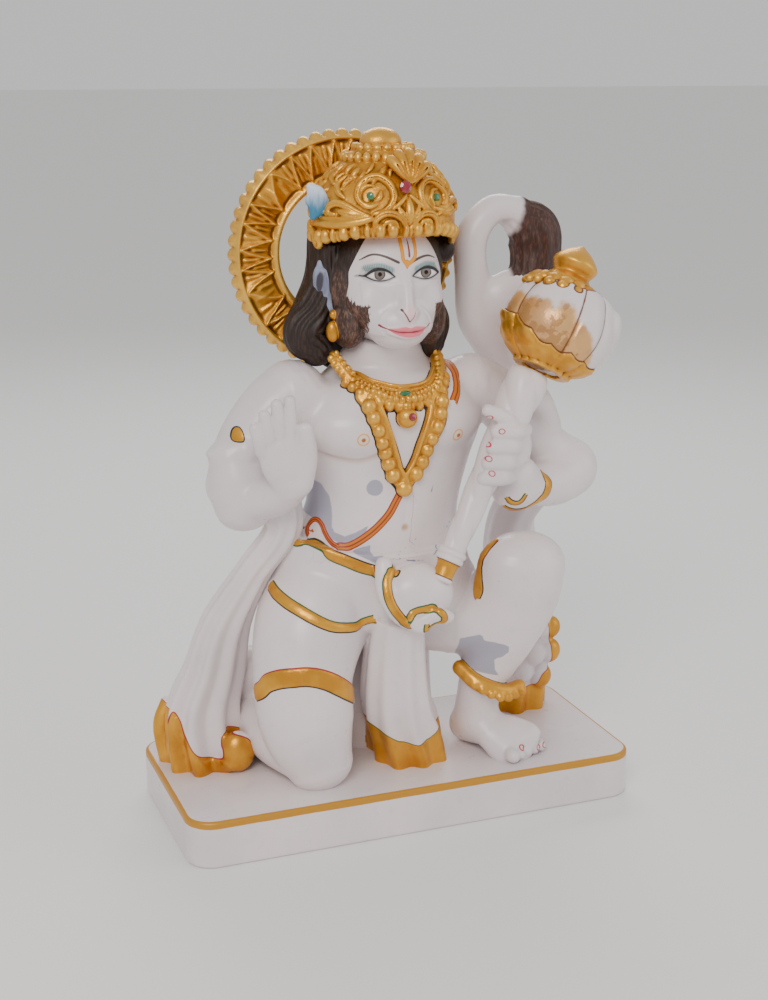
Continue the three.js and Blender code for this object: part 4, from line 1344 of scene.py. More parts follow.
    def hair(self, mask, stretch=(1, 1, 0.12), light=HAIR_LIGHT, dark=HAIR):
        """Dark brown paint with long fine strokes."""
        strands = self.noise(900, 3, stretch)
        broad = self.noise(240, 3, stretch)
        amount = self.plus(self.times(self.steps(strands, 0.45, 0.68), 0.6),
            self.times(self.steps(broad, 0.5, 0.75), 0.4))
        self.layer(mask, self.blend(amount, dark, light), 0.5, 0.0, self.times(strands, 1.2))

    def finish(self, bump=0.00022):
        shader = self.shader
        self.feed(shader.inputs["Base Color"], self.colour)
        self.feed(shader.inputs["Roughness"], self.rough)
        self.feed(shader.inputs["Metallic"], self.metal)
        self.feed(shader.inputs["Subsurface Weight"],
            self.times(self.glow, 0.12) if self.glow != 1.0 else 0.12)
        shader.inputs["Subsurface Radius"].default_value = (1.0, 0.75, 0.65)
        shader.inputs["Subsurface Scale"].default_value = 0.004
        shader.inputs["Specular IOR Level"].default_value = 0.45
        node = self.node("ShaderNodeBump")
        node.inputs["Strength"].default_value = 0.8
        node.inputs["Distance"].default_value = bump
        self.feed(node.inputs["Height"], self.height)
        self.feed(shader.inputs["Normal"], node.outputs[0])
        return self.material


# Trims and painted lines, through points of the figure; a fourth value is a half-width in millimetres
BELT = [
    (-172, -38, 397, 3.2), (-160, -36, 392, 3.4), (-143, -40, 382, 3.5), (-122, -65, 368, 3.5),
    (-99, -84, 357, 3.5), (-75, -92, 346, 3.5), (-55, -104, 339, 3.2), (-34, -112, 333, 3.0),
]
WRAP_HEM = [
    (-206, -20, 316, 3.2), (-200, -46, 306, 3.4), (-190, -73, 297, 3.5), (-175, -94, 288, 3.5),
    (-155, -108, 276, 3.4), (-135, -114, 266, 3.2), (-114, -112, 260, 3.0), (-86, -104, 256, 2.8),
    (-58, -106, 265, 2.4),
]
BUNCH_BAND = [
    (-40, -112, 345, 2.8), (-50, -131, 331, 3.0), (-51, -139, 313, 3.0), (-46, -145, 296, 3.0),
    (-35, -151, 279, 2.8), (-22, -157, 268, 2.2),
]
SPIRAL = [
    (-26, -154, 272, 1.8), (-15, -152, 285, 2.1), (-1, -153, 290, 2.2), (14, -157, 289, 2.2),
    (27, -160, 282, 2.2), (33, -160, 270, 2.2), (27, -160, 259, 2.2), (13, -161, 254, 2.0),
    (2, -161, 259, 1.6), (4, -161, 268, 1.4),
]
THREAD = [
    (-6, -90, 466, 2.4), (-17, -87, 446, 2.5), (-29, -85, 424, 2.6), (-49, -81, 402, 2.7),
    (-71, -76, 385, 2.7), (-90, -70, 375, 2.5), (-106, -62, 374, 1.8),
]
THREAD_LOOP = [
    (-104, -62, 374), (-113, -56, 381), (-119, -49, 393), (-124, -42, 408), (-131, -33, 413),
    (-138, -25, 406), (-142, -22, 394), (-139, -28, 384),
]
THREAD_SHOULDER = [(98, 24, 640), (102, -1, 635), (101, -33, 622), (92, -55, 603), (78, -74, 586)]
KNEE_BAND = [
    (-242, -70, 156, 5.2), (-238, -88, 168, 5.6), (-232, -98, 181, 5.8), (-217, -111, 190, 5.8),
    (-199, -122, 194, 5.8), (-176, -129, 195, 5.8), (-150, -132, 187, 5.8), (-124, -126, 170, 5.8),
    (-104, -108, 151, 5.6), (-92, -92, 138, 5.0),
]
ARMLET = [(-258, 548), (-254, 562), (-247, 566), (-243, 560), (-242, 550), (-247, 546)]
KNEE_HEM = [
    (156, -86, 368, 2.0), (140, -84, 350, 4.2), (129, -80, 327, 5.0), (122, -84, 303, 5.2),
    (115, -94, 285, 4.4), (117, -96, 271, 1.4),
]
# A grey line, partly a vein in the stone and partly painted shade
GREY_VEIN_AND_SHADE_LINE = [
    (46, -86, 470), (41, -81, 438), (28, -82, 417), (26, -81, 394), (12, -82, 375), (-11, -86, 362),
    (-16, -97, 355), (-1, -100, 351), (30, -92, 347), (50, -85, 355), (59, -69, 364), (85, -56, 393),
]
PEC_CREASE = [(-136, -40, 530), (-120, -57, 519), (-100, -68, 513), (-74, -79, 510), (-48, -87, 518)]
NIPPLES = [(-73, -94, 546), (83, -89, 540)]
NAVEL = (-2, -85, 400)
SPOT = (-51, -83, 467)
SPOT_RADIUS = 5.4
# Grey patches seen from the front, on the flank, by the belt and on the calf: partly grey veining in the
# stone, partly painted shade
FLANK_PATCH = [
    (-138, 478), (-122, 470), (-112, 452), (-109, 429), (-111, 398), (-95, 390), (-81, 395), (-60, 408),
    (-64, 396), (-84, 384), (-100, 378), (-114, 386), (-124, 405), (-140, 420),
]
BELT_PATCH = [(-86, 368), (-57, 377), (-58, 362), (-44, 362), (-24, 346), (-52, 350)]
CALF_PATCH = [
    (92, 207), (121, 217), (126, 205), (144, 202), (163, 196), (165, 184), (156, 175), (144, 172), (148, 152),
    (156, 139), (124, 146), (108, 151), (92, 180),
]
FRONT_HEM = [
    (-354, 104), (-342, 90), (-337, 66), (-327, 42), (-310, 30), (-282, 25), (-279, 58), (-266, 66),
    (-241, 57), (-230, 34), (-232, 12), (-250, -6), (-356, -6), (-366, 40),
]
FRONT_CURL = [(-279, 1, 59), (-276, -2, 40), (-266, -4, 24), (-242, -15, 20)]
LEFT_HEM = [
    (314, 176), (318, 137), (320, 115), (320, 83), (303, 70), (291, 49), (261, 47), (238, 34), (232, -8),
    (350, -8), (352, 176),
]
PLEAT_HEM = [(-72, 92), (-63, 83), (-42, 68), (-17, 51), (14, 42), (37, 48), (52, 60), (90, 64)]
WRIST = [
    (221, -80, 466, 1.6), (222, -80, 448, 3.0), (213, -82, 431, 3.5), (197, -85, 417, 3.2),
    (175, -88, 409, 2.6), (154, -92, 414, 1.2),
]
CUFF = [(158, -104, 436, 1.0), (170, -102, 427, 1.7), (184, -98, 431, 1.4), (192, -96, 448, 0.8)]
NAILS = [
    (118, -126, 572), (133, -141, 552), (115, -128, 531), (114, -136, 510), (119, -138, 487), (186, -132, 22),
    (218, -122, 14), (232, -118, 14),
]


# Name, curve, and the way its upper side faces; then a thread's half-width, or the colours of a
# trim's two outlines
UPWARD = (0, 0, 1)
SIDEWAYS = (1, 0, 0.3)
THREADS = (
    ("thread", THREAD, UPWARD, 2.5), ("shoulder", THREAD_SHOULDER, (1, 0, 0), 2.9),
    ("loop", THREAD_LOOP, UPWARD, 1.4),
)
TRIMS = (
    ("belt", BELT, UPWARD, BLACK, GREEN), ("wrap_hem", WRAP_HEM, UPWARD, GREEN, BLACK),
    ("bunch_band", BUNCH_BAND, SIDEWAYS, BLACK, GREEN), ("knee_band", KNEE_BAND, UPWARD, RED, BLACK),
    ("knee_hem", KNEE_HEM, SIDEWAYS, BLACK, srgb(120, 22, 24)), ("spiral", SPIRAL, UPWARD, GREEN, GREEN),
    ("wrist", WRIST, UPWARD, BLACK, BLACK), ("cuff", CUFF, SIDEWAYS, BLACK, GREEN),
)


def points_of(thing):
    """The mesh's corners in millimetres, and the x, y and z of each in figure units."""
    points = corners_of(thing)
    return (points, *to_units(points).T)


def paint_body(thing, field):
    """The trims, the thread, grey marks that are partly veins in the stone and partly painted shade, and the
    small round marks.
    """
    points, x, y, z = points_of(thing)
    marks = Marks(thing)
    for name, rows, up, *_ in TRIMS:
        edge, _, side = curve_distance(points, on_surface(field, rows), up)
        marks[name] = edge
        marks[name + "_side"] = side
    for name, rows, up, _ in THREADS:
        edge, middle, side = curve_distance(points, on_surface(field, rows), up)
        marks[name] = np.where(edge > 50, UNREACHED, middle * side)
    marks["vein_line"] = curve_distance(points, on_surface(field, GREY_VEIN_AND_SHADE_LINE))[1]
    marks["pec"] = curve_distance(points, on_surface(field, PEC_CREASE))[1]
    front = y < 40
    patch = np.full(len(x), ELSEWHERE)
    for rows, here in (
        (FLANK_PATCH, front & (x < 40) & (y > -100)), (BELT_PATCH, front & (x < 40) & (y > -100)),
        (CALF_PATCH, front & (x > 60)),
    ):
        patch = np.minimum(patch, np.where(here, flat_area(x, z, rows, False), ELSEWHERE))
    marks["patch"] = patch
    hem = np.interp(x, *np.transpose(PLEAT_HEM))
    marks["pleat_hem"] = np.where(field.off_part("pleat", points) < 1.2, (z - hem) * UNIT, ELSEWHERE)
    marks["outline"] = distance_at(necklace, points)
    foot = np.linalg.norm(points - at(158, -76, 112), axis=1)
    marks["anklet"] = np.where(foot < 40, field.off_part("anklet", points), ELSEWHERE)
    marks["armlet"] = np.where((y < 0) & (y > -62), flat_area(x, z, ARMLET), ELSEWHERE)
    paint = Paint("painted body")
    # Grey patches and a grey spot: partly veining in the stone, partly painted shade
    for patch in ("patch", paint.away(SPOT)):
        edge = 0 if patch == "patch" else SPOT_RADIUS
        paint.layer(paint.below(patch, edge, 0.35, 0.5, 120), srgb(150, 150, 168), 0.32, strength=0.85)
    # The grey line: partly a vein in the stone, partly painted shade
    paint.layer(paint.below("vein_line", 0.55, 0.25, 0.25), srgb(128, 128, 152), 0.35)
    # Warm brown along the crease under the chest: partly a painted line, partly painted shade in the crease
    paint.layer(paint.steps(paint.attribute("pec"), 3.5, 0.2), srgb(190, 150, 120), 0.35, strength=0.45)
    nipple = paint.away(*NIPPLES)
    paint.layer(paint.steps(paint.away(NAVEL), 3.6, 1.0), srgb(196, 148, 96), 0.35, strength=0.8)
    paint.layer(paint.steps(nipple, 6.0, 3.6), srgb(240, 212, 180), 0.35, strength=0.8)
    paint.layer(paint.band(nipple, 3.3, 4.2, 0.2, 0.1), srgb(214, 160, 104), 0.4, strength=0.8)
    paint.layer(paint.below(nipple, 1.5, 0.25), srgb(176, 98, 50), 0.4)
    for name, _, _, half in THREADS:
        paint.layer(paint.band(name, -half, half), srgb(200, 116, 24))
        for line in (-half, 0, half):
            paint.layer(paint.band(name, line - 0.45, line + 0.45, 0.12, 0.08), srgb(158, 36, 18))
    for name, _, _, above, below in TRIMS:
        colour = paint.blend(paint.steps(paint.attribute(name + "_side"), -0.3, 0.3), below, above)
        paint.layer(paint.below(name, 0.85), colour)
    paint.layer(paint.band("pleat_hem", -1, 0.7), GREEN)
    paint.layer(paint.below("outline", 0.8), BLACK)
    paint.layer(paint.below("anklet", 0.95, 0.15, 0.08), BLACK)
    paint.layer(paint.below("armlet", 0.5), BLACK)
    gilt = paint.band("pleat_hem", -60, -0.1, 0.1)
    for name, edge, soft, wobble in (
        ("anklet", 0.55, 0.1, 0.05), ("armlet", -0.2, 0.1,
            0.12), *((trim[0], -0.1, 0.1, 0.1) for trim in TRIMS),
    ):
        gilt = paint.math("MAXIMUM", gilt, paint.below(name, edge, soft, wobble))
    paint.gold(gilt)
    nails = paint.band(paint.away(*NAILS, stretch=(1, 0.5, 1.25)), 1.6, 2.4, 0.15, 0.1)
    paint.layer(nails, srgb(196, 50, 70), 0.4)
    return paint.finish()


def paint_scarves(thing, _):
    points, x, y, z = points_of(thing)
    marks = Marks(thing)
    front = np.where(y < 46, flat_area(x, z, FRONT_HEM),
        np.where(x < 0, (z - 118 + 0.9 * (x + 372)) * UNIT, 50))
    left = flat_area(x, z, LEFT_HEM)
    side = np.where(x < 0, front, left)
    marks["hem"] = np.where(z < 180, side, 50)
    marks["curl"] = curve_distance(points, curve(FRONT_CURL))[1]
    paint = Paint("painted scarves")
    paint.layer(paint.below("hem", 0.7), RED, 0.45)
    paint.gold(paint.below("hem", 0.0, 0.1))
    paint.layer(paint.below("curl", 0.45, 0.15, 0.15), srgb(52, 34, 22), 0.45)
    return paint.finish()


def paint_tail(thing, _):
    points, x, y, z = points_of(thing)
    marks = Marks(thing)
    start = x - 236 - 0.31 * np.maximum(z - 843, 0) + 12 * smooth(843 - z, 0, 30)
    marks["tuft"] = np.where((z > 762) & (x > 200), -start * UNIT, 50)
    paint = Paint("painted tail")
    mask = paint.below("tuft", 0, 2.6, 2.0, 160)
    paint.hair(mask, (1, 1, 0.2), srgb(104, 66, 50), srgb(56, 32, 25))
    return paint.finish()


def eye_marks(x, z):
    """The distances for both eyes: the ball, the lids' lines, the shadow above, the iris and the brow."""
    marks = {name: [] for name in ("eye", "lid", "shade", "iris", "brow", "socket")}
    for s, centre, inner, arch in ((-1, -41.9, 21, (807, 816, 818, 809.5)),
        (1, 31.5, 25, (806, 812.5, 813.5, 808))):

        def lid(*places):
            return [(centre + s * p[0], *p[1:]) for p in places]

        upper = lid((-inner, 786.6), (-12, 794.5), (0, 797.8), (12, 795.4), (22, 788.4))
        lower = lid((22, 788.4), (11, 782.6), (0, 780.7), (-11, 782.2), (-inner, 786.6))
        marks["eye"].append(flat_area(x, z, upper + lower[1:-1], False))
        for line, widths in ((upper, (0.35, 0.7, 0.95, 1.0, 0.7)), (lower, (0.5, 0.4, 0.36, 0.28, 0.3))):
            marks["lid"].append(flat_line(x, z, [(*p, w) for p, w in zip(line, widths)]))
        marks["lid"].append(flat_line(x, z, lid((20, 788.6, 0.6), (25, 787.6, 0.4), (30, 786.5, 0.1))))
        marks["shade"].append(flat_line(x, z, lid((-16, 796), (0, 801.5), (17, 798))))
        marks["iris"].append(np.hypot(x - centre + 0.5, z - 790.4) * UNIT)
        marks["brow"].append(flat_line(x, z, lid(*zip((-27.5, -8, 8, 24), arch, (0.9, 0.75, 0.62, 0.3)))))
        marks["socket"].append(np.hypot((x - centre) / 1.25, z - 796) * UNIT)
    return marks


def paint_face(thing, _):
    """The eyes, brows, forehead mark, nose and lips in fine brush lines, and the fur round the face."""
    _, x, y, z = points_of(thing)
    half = [
        (0, 842), (28, 842), (52, 838), (72, 822), (78, 800), (78, 772), (74, 752), (66, 745), (52,
            744), (53, 736),
        (51, 706), (49, 684), (30, 664), (0, 660),
    ]
    m = FACE_MIDDLE
    bare = [(m + a, b) for a, b in half] + [(m - a, b) for a, b in half[-2:0:-1]]
    lips = [
        (-36, 711.6), (-24, 713.2), (-12, 714.8), (-4, 713), (4, 714.8), (14, 713.6), (23, 711.6), (19,
            704.5),
        (10, 700), (-4, 698.5), (-17, 700.5), (-28, 705.5),
    ]
    lines = {
        "tilak": (
            [(-7, 850, 1.2), (-7, 820, 1.2), (-7, 811, 1.2), (-2.2, 803, 1.2)],
            [(16, 850, 1.2), (15, 820, 1.2), (9, 810, 1.2), (-2.2, 803, 1.2)],
            [(-2, 806, 2.0), (-2.7, 798.5, 0.5)],
        ),
        "tilak_line": ([(4.5, 840, 0.3), (4.5, 826, 0.6), (3.5, 815, 0.8)],),
        "nostril": (
            [(-16.5, 739.5, 0.8), (-14, 736, 0.45), (-8, 725, 0.4), (-5.6, 722, 0.4)],
            [(-5.6, 722, 0.35), (0, 729, 0.22), (5.4, 738.5, 0.2)],
        ),
        "mouth": (
            [(-34, 711, 0.25), (-20, 707, 0.3), (-6, 706, 0.32), (8, 706.6, 0.3), (24, 710.5, 0.2)],
            [(-46.5, 716.8, 0.75), (-42, 713.8, 0.55), (-34, 711, 0.25)],
            [(33, 715.6, 0.4), (27, 712.6, 0.3), (22, 710.5, 0.2)],
        ),
    }
    distances = eye_marks(x, z)
    distances.update({name: [flat_line(x, z, rows) for rows in group] for name, group in lines.items()})
    distances["nose"] = [np.hypot(x + 4, (z - 733) * 0.8) * UNIT]
    distances["fur"] = [flat_area(x, z, bare)]
    distances["lips"] = [flat_area(x, z, lips)]
    marks = Marks(thing)
    for name, values in distances.items():
        marks[name] = np.where(y < -8, np.min(values, axis=0), ELSEWHERE)
    paint = Paint("painted face")
    for name, low, high, colour, strength in (
        ("socket", 9.5, 5.0, (226, 198, 196), 0.55), ("nose", 6.5, 1.5, (240, 194, 194), 0.75),
        ("lips", 1.6, 0.2, (240, 196, 198), 0.6),
    ):
        paint.layer(paint.steps(paint.attribute(name), low, high), srgb(*colour), 0.35, strength=strength)
    lash = paint.node("ShaderNodeTexWave", wave_type="BANDS", bands_direction="X")
    paint.feed(lash.inputs["Vector"], paint.place)
    lash.inputs["Scale"].default_value = 330
    lash.inputs["Distortion"].default_value = 1.2
    lashes = paint.blend(paint.steps(lash.outputs["Fac"], 0.35, 0.85), srgb(134, 176, 178),
        srgb(72, 106, 110))
    paint.layer(paint.below("shade", 2.1, 0.9, 0.3), lashes, 0.45, strength=0.85)
    eye = paint.below("eye", 0.0, 0.1, 0.02)
    paint.layer(eye, srgb(236, 226, 224), 0.22)
    iris = paint.attribute("iris")
    ring = paint.blend(paint.steps(iris, 2.5, 3.6), srgb(118, 104, 96), srgb(46, 38, 36))
    ring = paint.blend(paint.steps(iris, 1.6, 1.1), ring, srgb(12, 10, 10))
    paint.layer(paint.times(paint.below("iris", 3.7, 0.2, 0.02), eye), ring, 0.12)
    # Soft grey round the lid lines: painted shade along the lids
    paint.layer(paint.steps(paint.attribute("lid"), 1.1, 0.0), srgb(120, 128, 136), 0.4, strength=0.6)
    for name, soft, wobble, colour, rough in (
        ("lid", 0.12, 0.05, (40, 34, 36), 0.4), ("brow", 0.18, 0.08, (78, 62, 56), 0.45),
        ("tilak", 0.15, 0.12, (232, 152, 26), 0.45), ("tilak_line", 0.12, 0.05, (150, 60, 30), 0.45),
        ("nostril", 0.14, 0.06, (92, 44, 48), 0.45), ("lips", 0.2, 0.15, (230, 122, 134), 0.38),
        ("mouth", 0.15, 0.08, (150, 52, 66), 0.4),
    ):
        paint.layer(paint.below(name, 0.0, soft, wobble), srgb(*colour), rough)
    paint.layer(paint.band("tilak", -0.35, 0.05, 0.12, 0.08), srgb(190, 112, 34), 0.45, strength=0.7)
    strands = paint.plus(paint.times(paint.noise(700, 3, (1, 1, 0.25)), 6.0), -3.0)
    fur = paint.steps(paint.plus(paint.attribute("fur"), strands), -0.3, 0.5)
    paint.hair(fur, (1, 1, 0.25), srgb(140, 104, 86), srgb(66, 44, 36))
    return paint.finish(0.00012)


def paint_hair(thing, field):
    points, x, y, z = points_of(thing)
    marks = Marks(thing)
    for name in ("fur", "ear", "drop"):
        marks[name] = field.off_part(name, points) - 0.25
    hollow = to_units(points) - [FACE_MIDDLE - 109, -19, 774]
    marks["hollow"] = np.hypot(hollow @ [0.6, -0.8, 0] - 0.12 * hollow[:, 2], hollow[:, 2] / 2.6) * UNIT
    paint = Paint("painted hair")
    paint.hair(1.0, (1, 1, 0.1))
    paint.hair(paint.below("fur", 0.3, 0.6, 1.0), (1, 1, 0.3), srgb(132, 98, 82), srgb(58, 38, 31))
    ear = paint.blend(paint.steps(paint.noise(200, 3, (1, 1, 0.3)), 0.4, 0.7), srgb(150, 158, 184),
        srgb(112, 116, 140))
    # Painted shade: dark in the ear's hollow over its grey-blue paint
    ear = paint.blend(paint.steps(paint.wobbly("hollow", 0.5), 3.2, 2.0), ear, srgb(62, 58, 70))
    paint.layer(paint.below("ear", 0.3, 0.1, 0.05), ear, 0.4)
    paint.gold(paint.below("drop", 0.3, 0.1, 0.05))
    return paint.finish(0.0003)


def paint_gold(thing, field):
    """Gold over the whole piece, brown in its hollows (partly brown size, partly painted shade) and with a
    painted highlight on raised tops, but for a painted feather where the piece has one.
    """
    points, _, _, z = points_of(thing)
    marks = Marks(thing)
    marks["cavity"] = cavity_of(thing)
    paint = Paint("gold " + thing.name)
    # Gold with painted shade in the hollows, partly brown size, and a painted highlight on raised tops
    paint.gold(1.0, "cavity")
    if "feather" in field.parts:
        marks["feather"] = field.off_part("feather", points) - 0.3
        marks["height"] = (z - 870) / 54
        height = paint.plus(paint.attribute("height"), paint.times(paint.noise(600, 3, (1, 1, 0.15)), 0.5))
        tint = paint.blend(paint.steps(height, 0.45, 1.05), srgb(52, 124, 160), srgb(206, 216, 234))
        paint.layer(paint.below("feather", 0.0, 0.1, 0.05), tint, 0.4)
    return paint.finish(0.00035)


def paint_halo(thing):
    """Gold on the halo's face and knobs, brown in its hollows (partly brown size, partly painted shade) with
    a painted highlight on raised tops, painted shade in dark brown on its inner edge, and bare stone at the
    back.
    """
    _, x, y, z = points_of(thing)
    marks = Marks(thing)
    out = np.hypot(x - HALO_CENTRE[0], z - HALO_CENTRE[2])
    ahead = np.where(y < HALO_CENTRE[1] + 1, -5, 5)
    marks["cavity"] = cavity_of(thing)
    marks["gilded"] = ahead + np.maximum(out - HALO_RIM - 7, 0) * 0.6
    marks["inner"] = (out - HALO_INNER) * UNIT
    paint = Paint("gold " + thing.name)
    # Gold with painted shade in the hollows, partly brown size, and a painted highlight on raised tops
    paint.gold(paint.below("gilded", 0, 0.6, 0.6), "cavity")
    # Painted shade: dark brown on the inner edge
    paint.layer(paint.below("inner", 0.7, 0.3, 0.2), srgb(70, 38, 16), 0.5)
    return paint.finish(0.00035)


def paint_mace(thing, field):
    """Gold on the fittings, brown in their hollows (partly brown size, partly painted shade) with a painted
    highlight on raised tops, and patchy gold and brown creases on the white head.
    """
    points, x, y, z = points_of(thing)
    places = np.column_stack([x, y, z])
    golden = np.min([field.off_part(name, points) for name in ("ferrule", "collar", "wreath", "knob")],
        axis=0)
    s = (places - MACE_FOOT) @ MACE_AXIS
    across, ahead = ((places - MACE_HEAD) @ d for d in mace_sides())
    away = lobe(np.arctan2(across, ahead))[1] * np.hypot(across, ahead) * UNIT
    head = (s > 350) & (s < 500) & (golden > 0)
    scratch = np.where(y < -60, flat_line(x, z, MACE_SCRATCH), ELSEWHERE)
    marks = Marks(thing)
    marks["cavity"] = cavity_of(thing)
    marks["gilded"] = golden - 0.2
    marks["groove"] = np.where(head, np.minimum(away, scratch), ELSEWHERE)
    marks["mottle"] = np.where(head & (y < -60), flat_area(x, z, MACE_MOTTLE), ELSEWHERE)
    paint = Paint("painted mace")
    mottle = paint.attribute("mottle")
    cloud = paint.plus(paint.times(paint.noise(60, 5), 3.0), -1.5)
    paint.gold(paint.times(paint.steps(paint.plus(paint.times(mottle, 0.13), cloud), 0.35, -0.35), 0.8))
    streaks = paint.steps(paint.plus(paint.noise(120, 5), paint.times(mottle, -0.01)), 0.6, 0.66)
    paint.layer(paint.times(streaks, paint.below("mottle", 2, 2)), srgb(150, 96, 36), 0.45, strength=0.6)
    paint.layer(paint.below("groove", 0.5, 0.3, 0.25), srgb(112, 64, 34), 0.4, strength=0.95)
    paint.layer(paint.below("gilded", 0.8, 0.2), srgb(110, 62, 30))
    # Gold on the fittings, with painted shade in the hollows, partly brown size, and a painted highlight on
    # raised tops
    paint.gold(paint.below("gilded", 0.1, 0.1, 0.05), "cavity")
    return paint.finish(0.0003)


def paint_plinth(thing):
    """A gold line along the top edge."""
    points = corners_of(thing)
    x, y = np.abs(points[:, 0]), np.abs(points[:, 1])
    wide, deep = cad_high.x / MM, cad_high.y / MM
    w, d = wide - PLINTH_CORNER_RADIUS, deep - PLINTH_CORNER_RADIUS
    corner = np.hypot(np.maximum(x - w, 0), np.maximum(y - d, 0)) - PLINTH_CORNER_RADIUS
    inward = np.where((x > w) & (y > d), corner, np.maximum(x - wide, y - deep)) + 2.4
    Marks(thing)["line"] = np.maximum(np.abs(points[:, 2] - PLINTH_HEIGHT + 1.9) - 2.6, -inward)
    paint = Paint("painted plinth")
    paint.layer(paint.below("line", 0, 0.2, 0.35, 60), srgb(198, 140, 44), 0.42, 0.35)
    return paint.finish()


def glass(name, colour):
    """Glass with painted facet light: its colour runs from dark in the middle of each small cell to full at
    the cell's edges.
    """
    material = bpy.data.materials.new(name)
    material.use_nodes = True
    tree = material.node_tree
    shader = tree.nodes["Principled BSDF"]
    place = tree.nodes.new("ShaderNodeTexCoord")
    cells = tree.nodes.new("ShaderNodeTexVoronoi")
    cells.inputs["Scale"].default_value = 420
    tree.links.new(place.outputs["Object"], cells.inputs["Vector"])
    # Painted facet shade and glints: darker in each cell's middle, full at its edges
    ramp = tree.nodes.new("ShaderNodeValToRGB")
    ramp.color_ramp.elements[0].color = (*(v * 0.45 for v in colour), 1)
    ramp.color_ramp.elements[1].color = (*colour, 1)
    tree.links.new(cells.outputs["Distance"], ramp.inputs["Fac"])
    tree.links.new(ramp.outputs["Color"], shader.inputs["Base Color"])
    shader.inputs["Roughness"].default_value = 0.06
    shader.inputs["IOR"].default_value = 1.55
    shader.inputs["Coat Weight"].default_value = 1.0
    shader.inputs["Coat Roughness"].default_value = 0.03
    return material


def plinth():
    """A slab with round corners and softened edges, on its own fine grid of faces."""
    w, d = cad_high.x / MM - PLINTH_CORNER_RADIUS, cad_high.y / MM - PLINTH_CORNER_RADIUS
    soft = PLINTH_EDGE_ROUND
    corner = PLINTH_CORNER_RADIUS - soft
    base = []
    for cx, cy, start in ((w, d, 0), (-w, d, 90), (-w, -d, 180), (w, -d, 270)):
        for a in np.radians(start + np.linspace(0, 90, 13)):
            base.append((cx + corner * math.cos(a), cy + corner * math.sin(a), a))
    closed = np.vstack([base, np.add(base[0], [0, 0, 2 * math.pi])])
    lengths = np.concatenate([[0], np.cumsum(np.linalg.norm(np.diff(closed[:, :2], axis=0), axis=1))])
    wanted = np.linspace(0, lengths[-1], 520, endpoint=False)
    x, y, a = (np.interp(wanted, lengths, column) for column in closed.T)
    turns = np.linspace(0, math.pi / 2, 6)
    levels = [(0, inward, 0) for inward in (0.25, 0.6, 0.9)]
    levels += [(soft * (1 - math.sin(r)), 1, soft * math.cos(r)) for r in turns[::-1]]
    levels += [(z, 1, soft) for z in np.linspace(soft, PLINTH_HEIGHT - soft, 16)[1:-1]]
    levels += [(PLINTH_HEIGHT - soft * (1 - math.sin(r)), 1, soft * math.cos(r)) for r in turns]
    levels += [(PLINTH_HEIGHT, inward, 0) for inward in (0.98, 0.96, 0.94, 0.9, 0.8, 0.6, 0.4, 0.2)]
    rings = []
    for z, inward, out in levels:
        rings.append(np.column_stack([x * inward + out * np.cos(a), y * inward + out * np.sin(a),
            np.full(len(x), z)]))
    return solid_object("statue_plinth", skin(rings, to_mm([[0, 0, -PLINTH_HEIGHT / UNIT], [0, 0, 0]])))


def finish_piece(thing, material):
    """Paints a piece of the stone and ties it to the part."""
    thing.data.polygons.foreach_set("use_smooth", np.ones(len(thing.data.polygons), bool))
    thing.data.materials.append(material)
    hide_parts("hanuman_statue")
    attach(thing, "root")


# The camera that the photo was taken with, in metres, and its lens and sensor in millimetres
CAMERA_PLACE = (-0.3755, -0.9685, 0.4955)
CAMERA_TARGET = (-0.0017, 0, 0.2115)
CAMERA_LENS = 57.6
CAMERA_SENSOR = 36


def aim(name, data, place, target):
    """A camera or light at a place, turned toward a target."""
    thing = bpy.data.objects.new(name, data)
    bpy.context.scene.collection.objects.link(thing)
    thing.location = place
    thing.rotation_mode = "QUATERNION"
    thing.rotation_quaternion = (Vector(target) - Vector(place)).to_track_quat("-Z", "Y")
    return thing


def camera():
    data = bpy.data.cameras.new("camera")
    data.sensor_width = CAMERA_SENSOR
    data.lens = CAMERA_LENS
    bpy.context.scene.camera = aim("camera", data, CAMERA_PLACE, CAMERA_TARGET)


def light(name, place, target, size, power, colour=(1, 1, 1)):
    data = bpy.data.lights.new(name, "AREA")
    data.shape = "RECTANGLE"
    data.size, data.size_y = size
    data.energy = power
    data.color = colour
    aim(name, data, place, target)


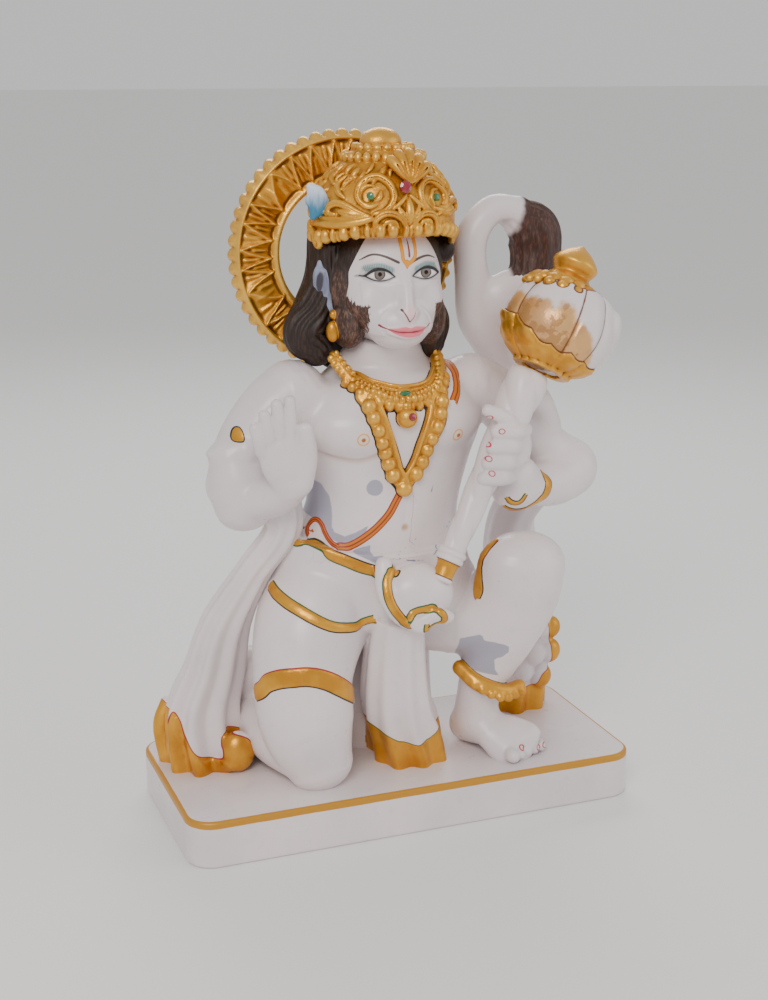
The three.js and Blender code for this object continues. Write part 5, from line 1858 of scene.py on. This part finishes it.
def studio():
    """A wide pale floor, an even pale sky and three soft lights."""
    bpy.ops.mesh.primitive_plane_add(size=60)
    floor = bpy.context.object
    floor.name = "floor"
    material = bpy.data.materials.new("floor")
    material.use_nodes = True
    shader = material.node_tree.nodes["Principled BSDF"]
    shader.inputs["Base Color"].default_value = (0.86, 0.85, 0.84, 1)
    shader.inputs["Roughness"].default_value = 0.7
    floor.data.materials.append(material)
    world = bpy.data.worlds.new("world")
    world.use_nodes = True
    world.node_tree.nodes["Background"].inputs["Color"].default_value = (0.95, 0.945, 0.94, 1)
    world.node_tree.nodes["Background"].inputs["Strength"].default_value = 0.72
    bpy.context.scene.world = world
    light("key", (-0.75, -1.2, 1.25), (0, 0, 0.25), (0.7, 0.7), 15, (1, 0.975, 0.94))
    light("fill", (1.3, -0.8, 0.7), (0, 0, 0.22), (1.0, 1.0), 4, (0.97, 0.98, 1))
    light("rim", (0.4, 1.2, 1.2), (0, 0, 0.3), (1.0, 0.5), 8)


camera()
studio()
ruby = glass("ruby glass", srgb(160, 8, 40))
emerald = glass("emerald glass", srgb(22, 120, 70))
body = body_field()
necklace = necklace_field(body)
for name, field, most, paint in (
    ("statue_body", body, BODY_TRIANGLES, paint_body),
    ("statue_necklace", necklace, 60000, paint_gold),
    ("statue_scarves", scarves_field(), 90000, paint_scarves),
    ("statue_tail", tail_field(), 40000, paint_tail),
    ("statue_face", face_field(), 120000, paint_face),
    ("statue_hair", hair_field(), 110000, paint_hair),
    ("statue_crown", crown_field(), 150000, paint_gold),
):
    piece = field.mesh(name, most)
    finish_piece(piece, paint(piece, field))
piece = halo()
finish_piece(piece, paint_halo(piece))
mace = mace_field()
piece = mace.mesh("statue_mace", 100000)
finish_piece(piece, paint_mace(piece, mace))
piece = plinth()
finish_piece(piece, paint_plinth(piece))
for name, material in (
    ("crown_ruby", ruby), ("pendant_ruby", ruby),
    ("crown_emerald_right", emerald), ("crown_emerald_left", emerald), ("necklace_emerald", emerald),
):
    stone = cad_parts[name]
    stone.data.materials.clear()
    stone.data.materials.append(material)
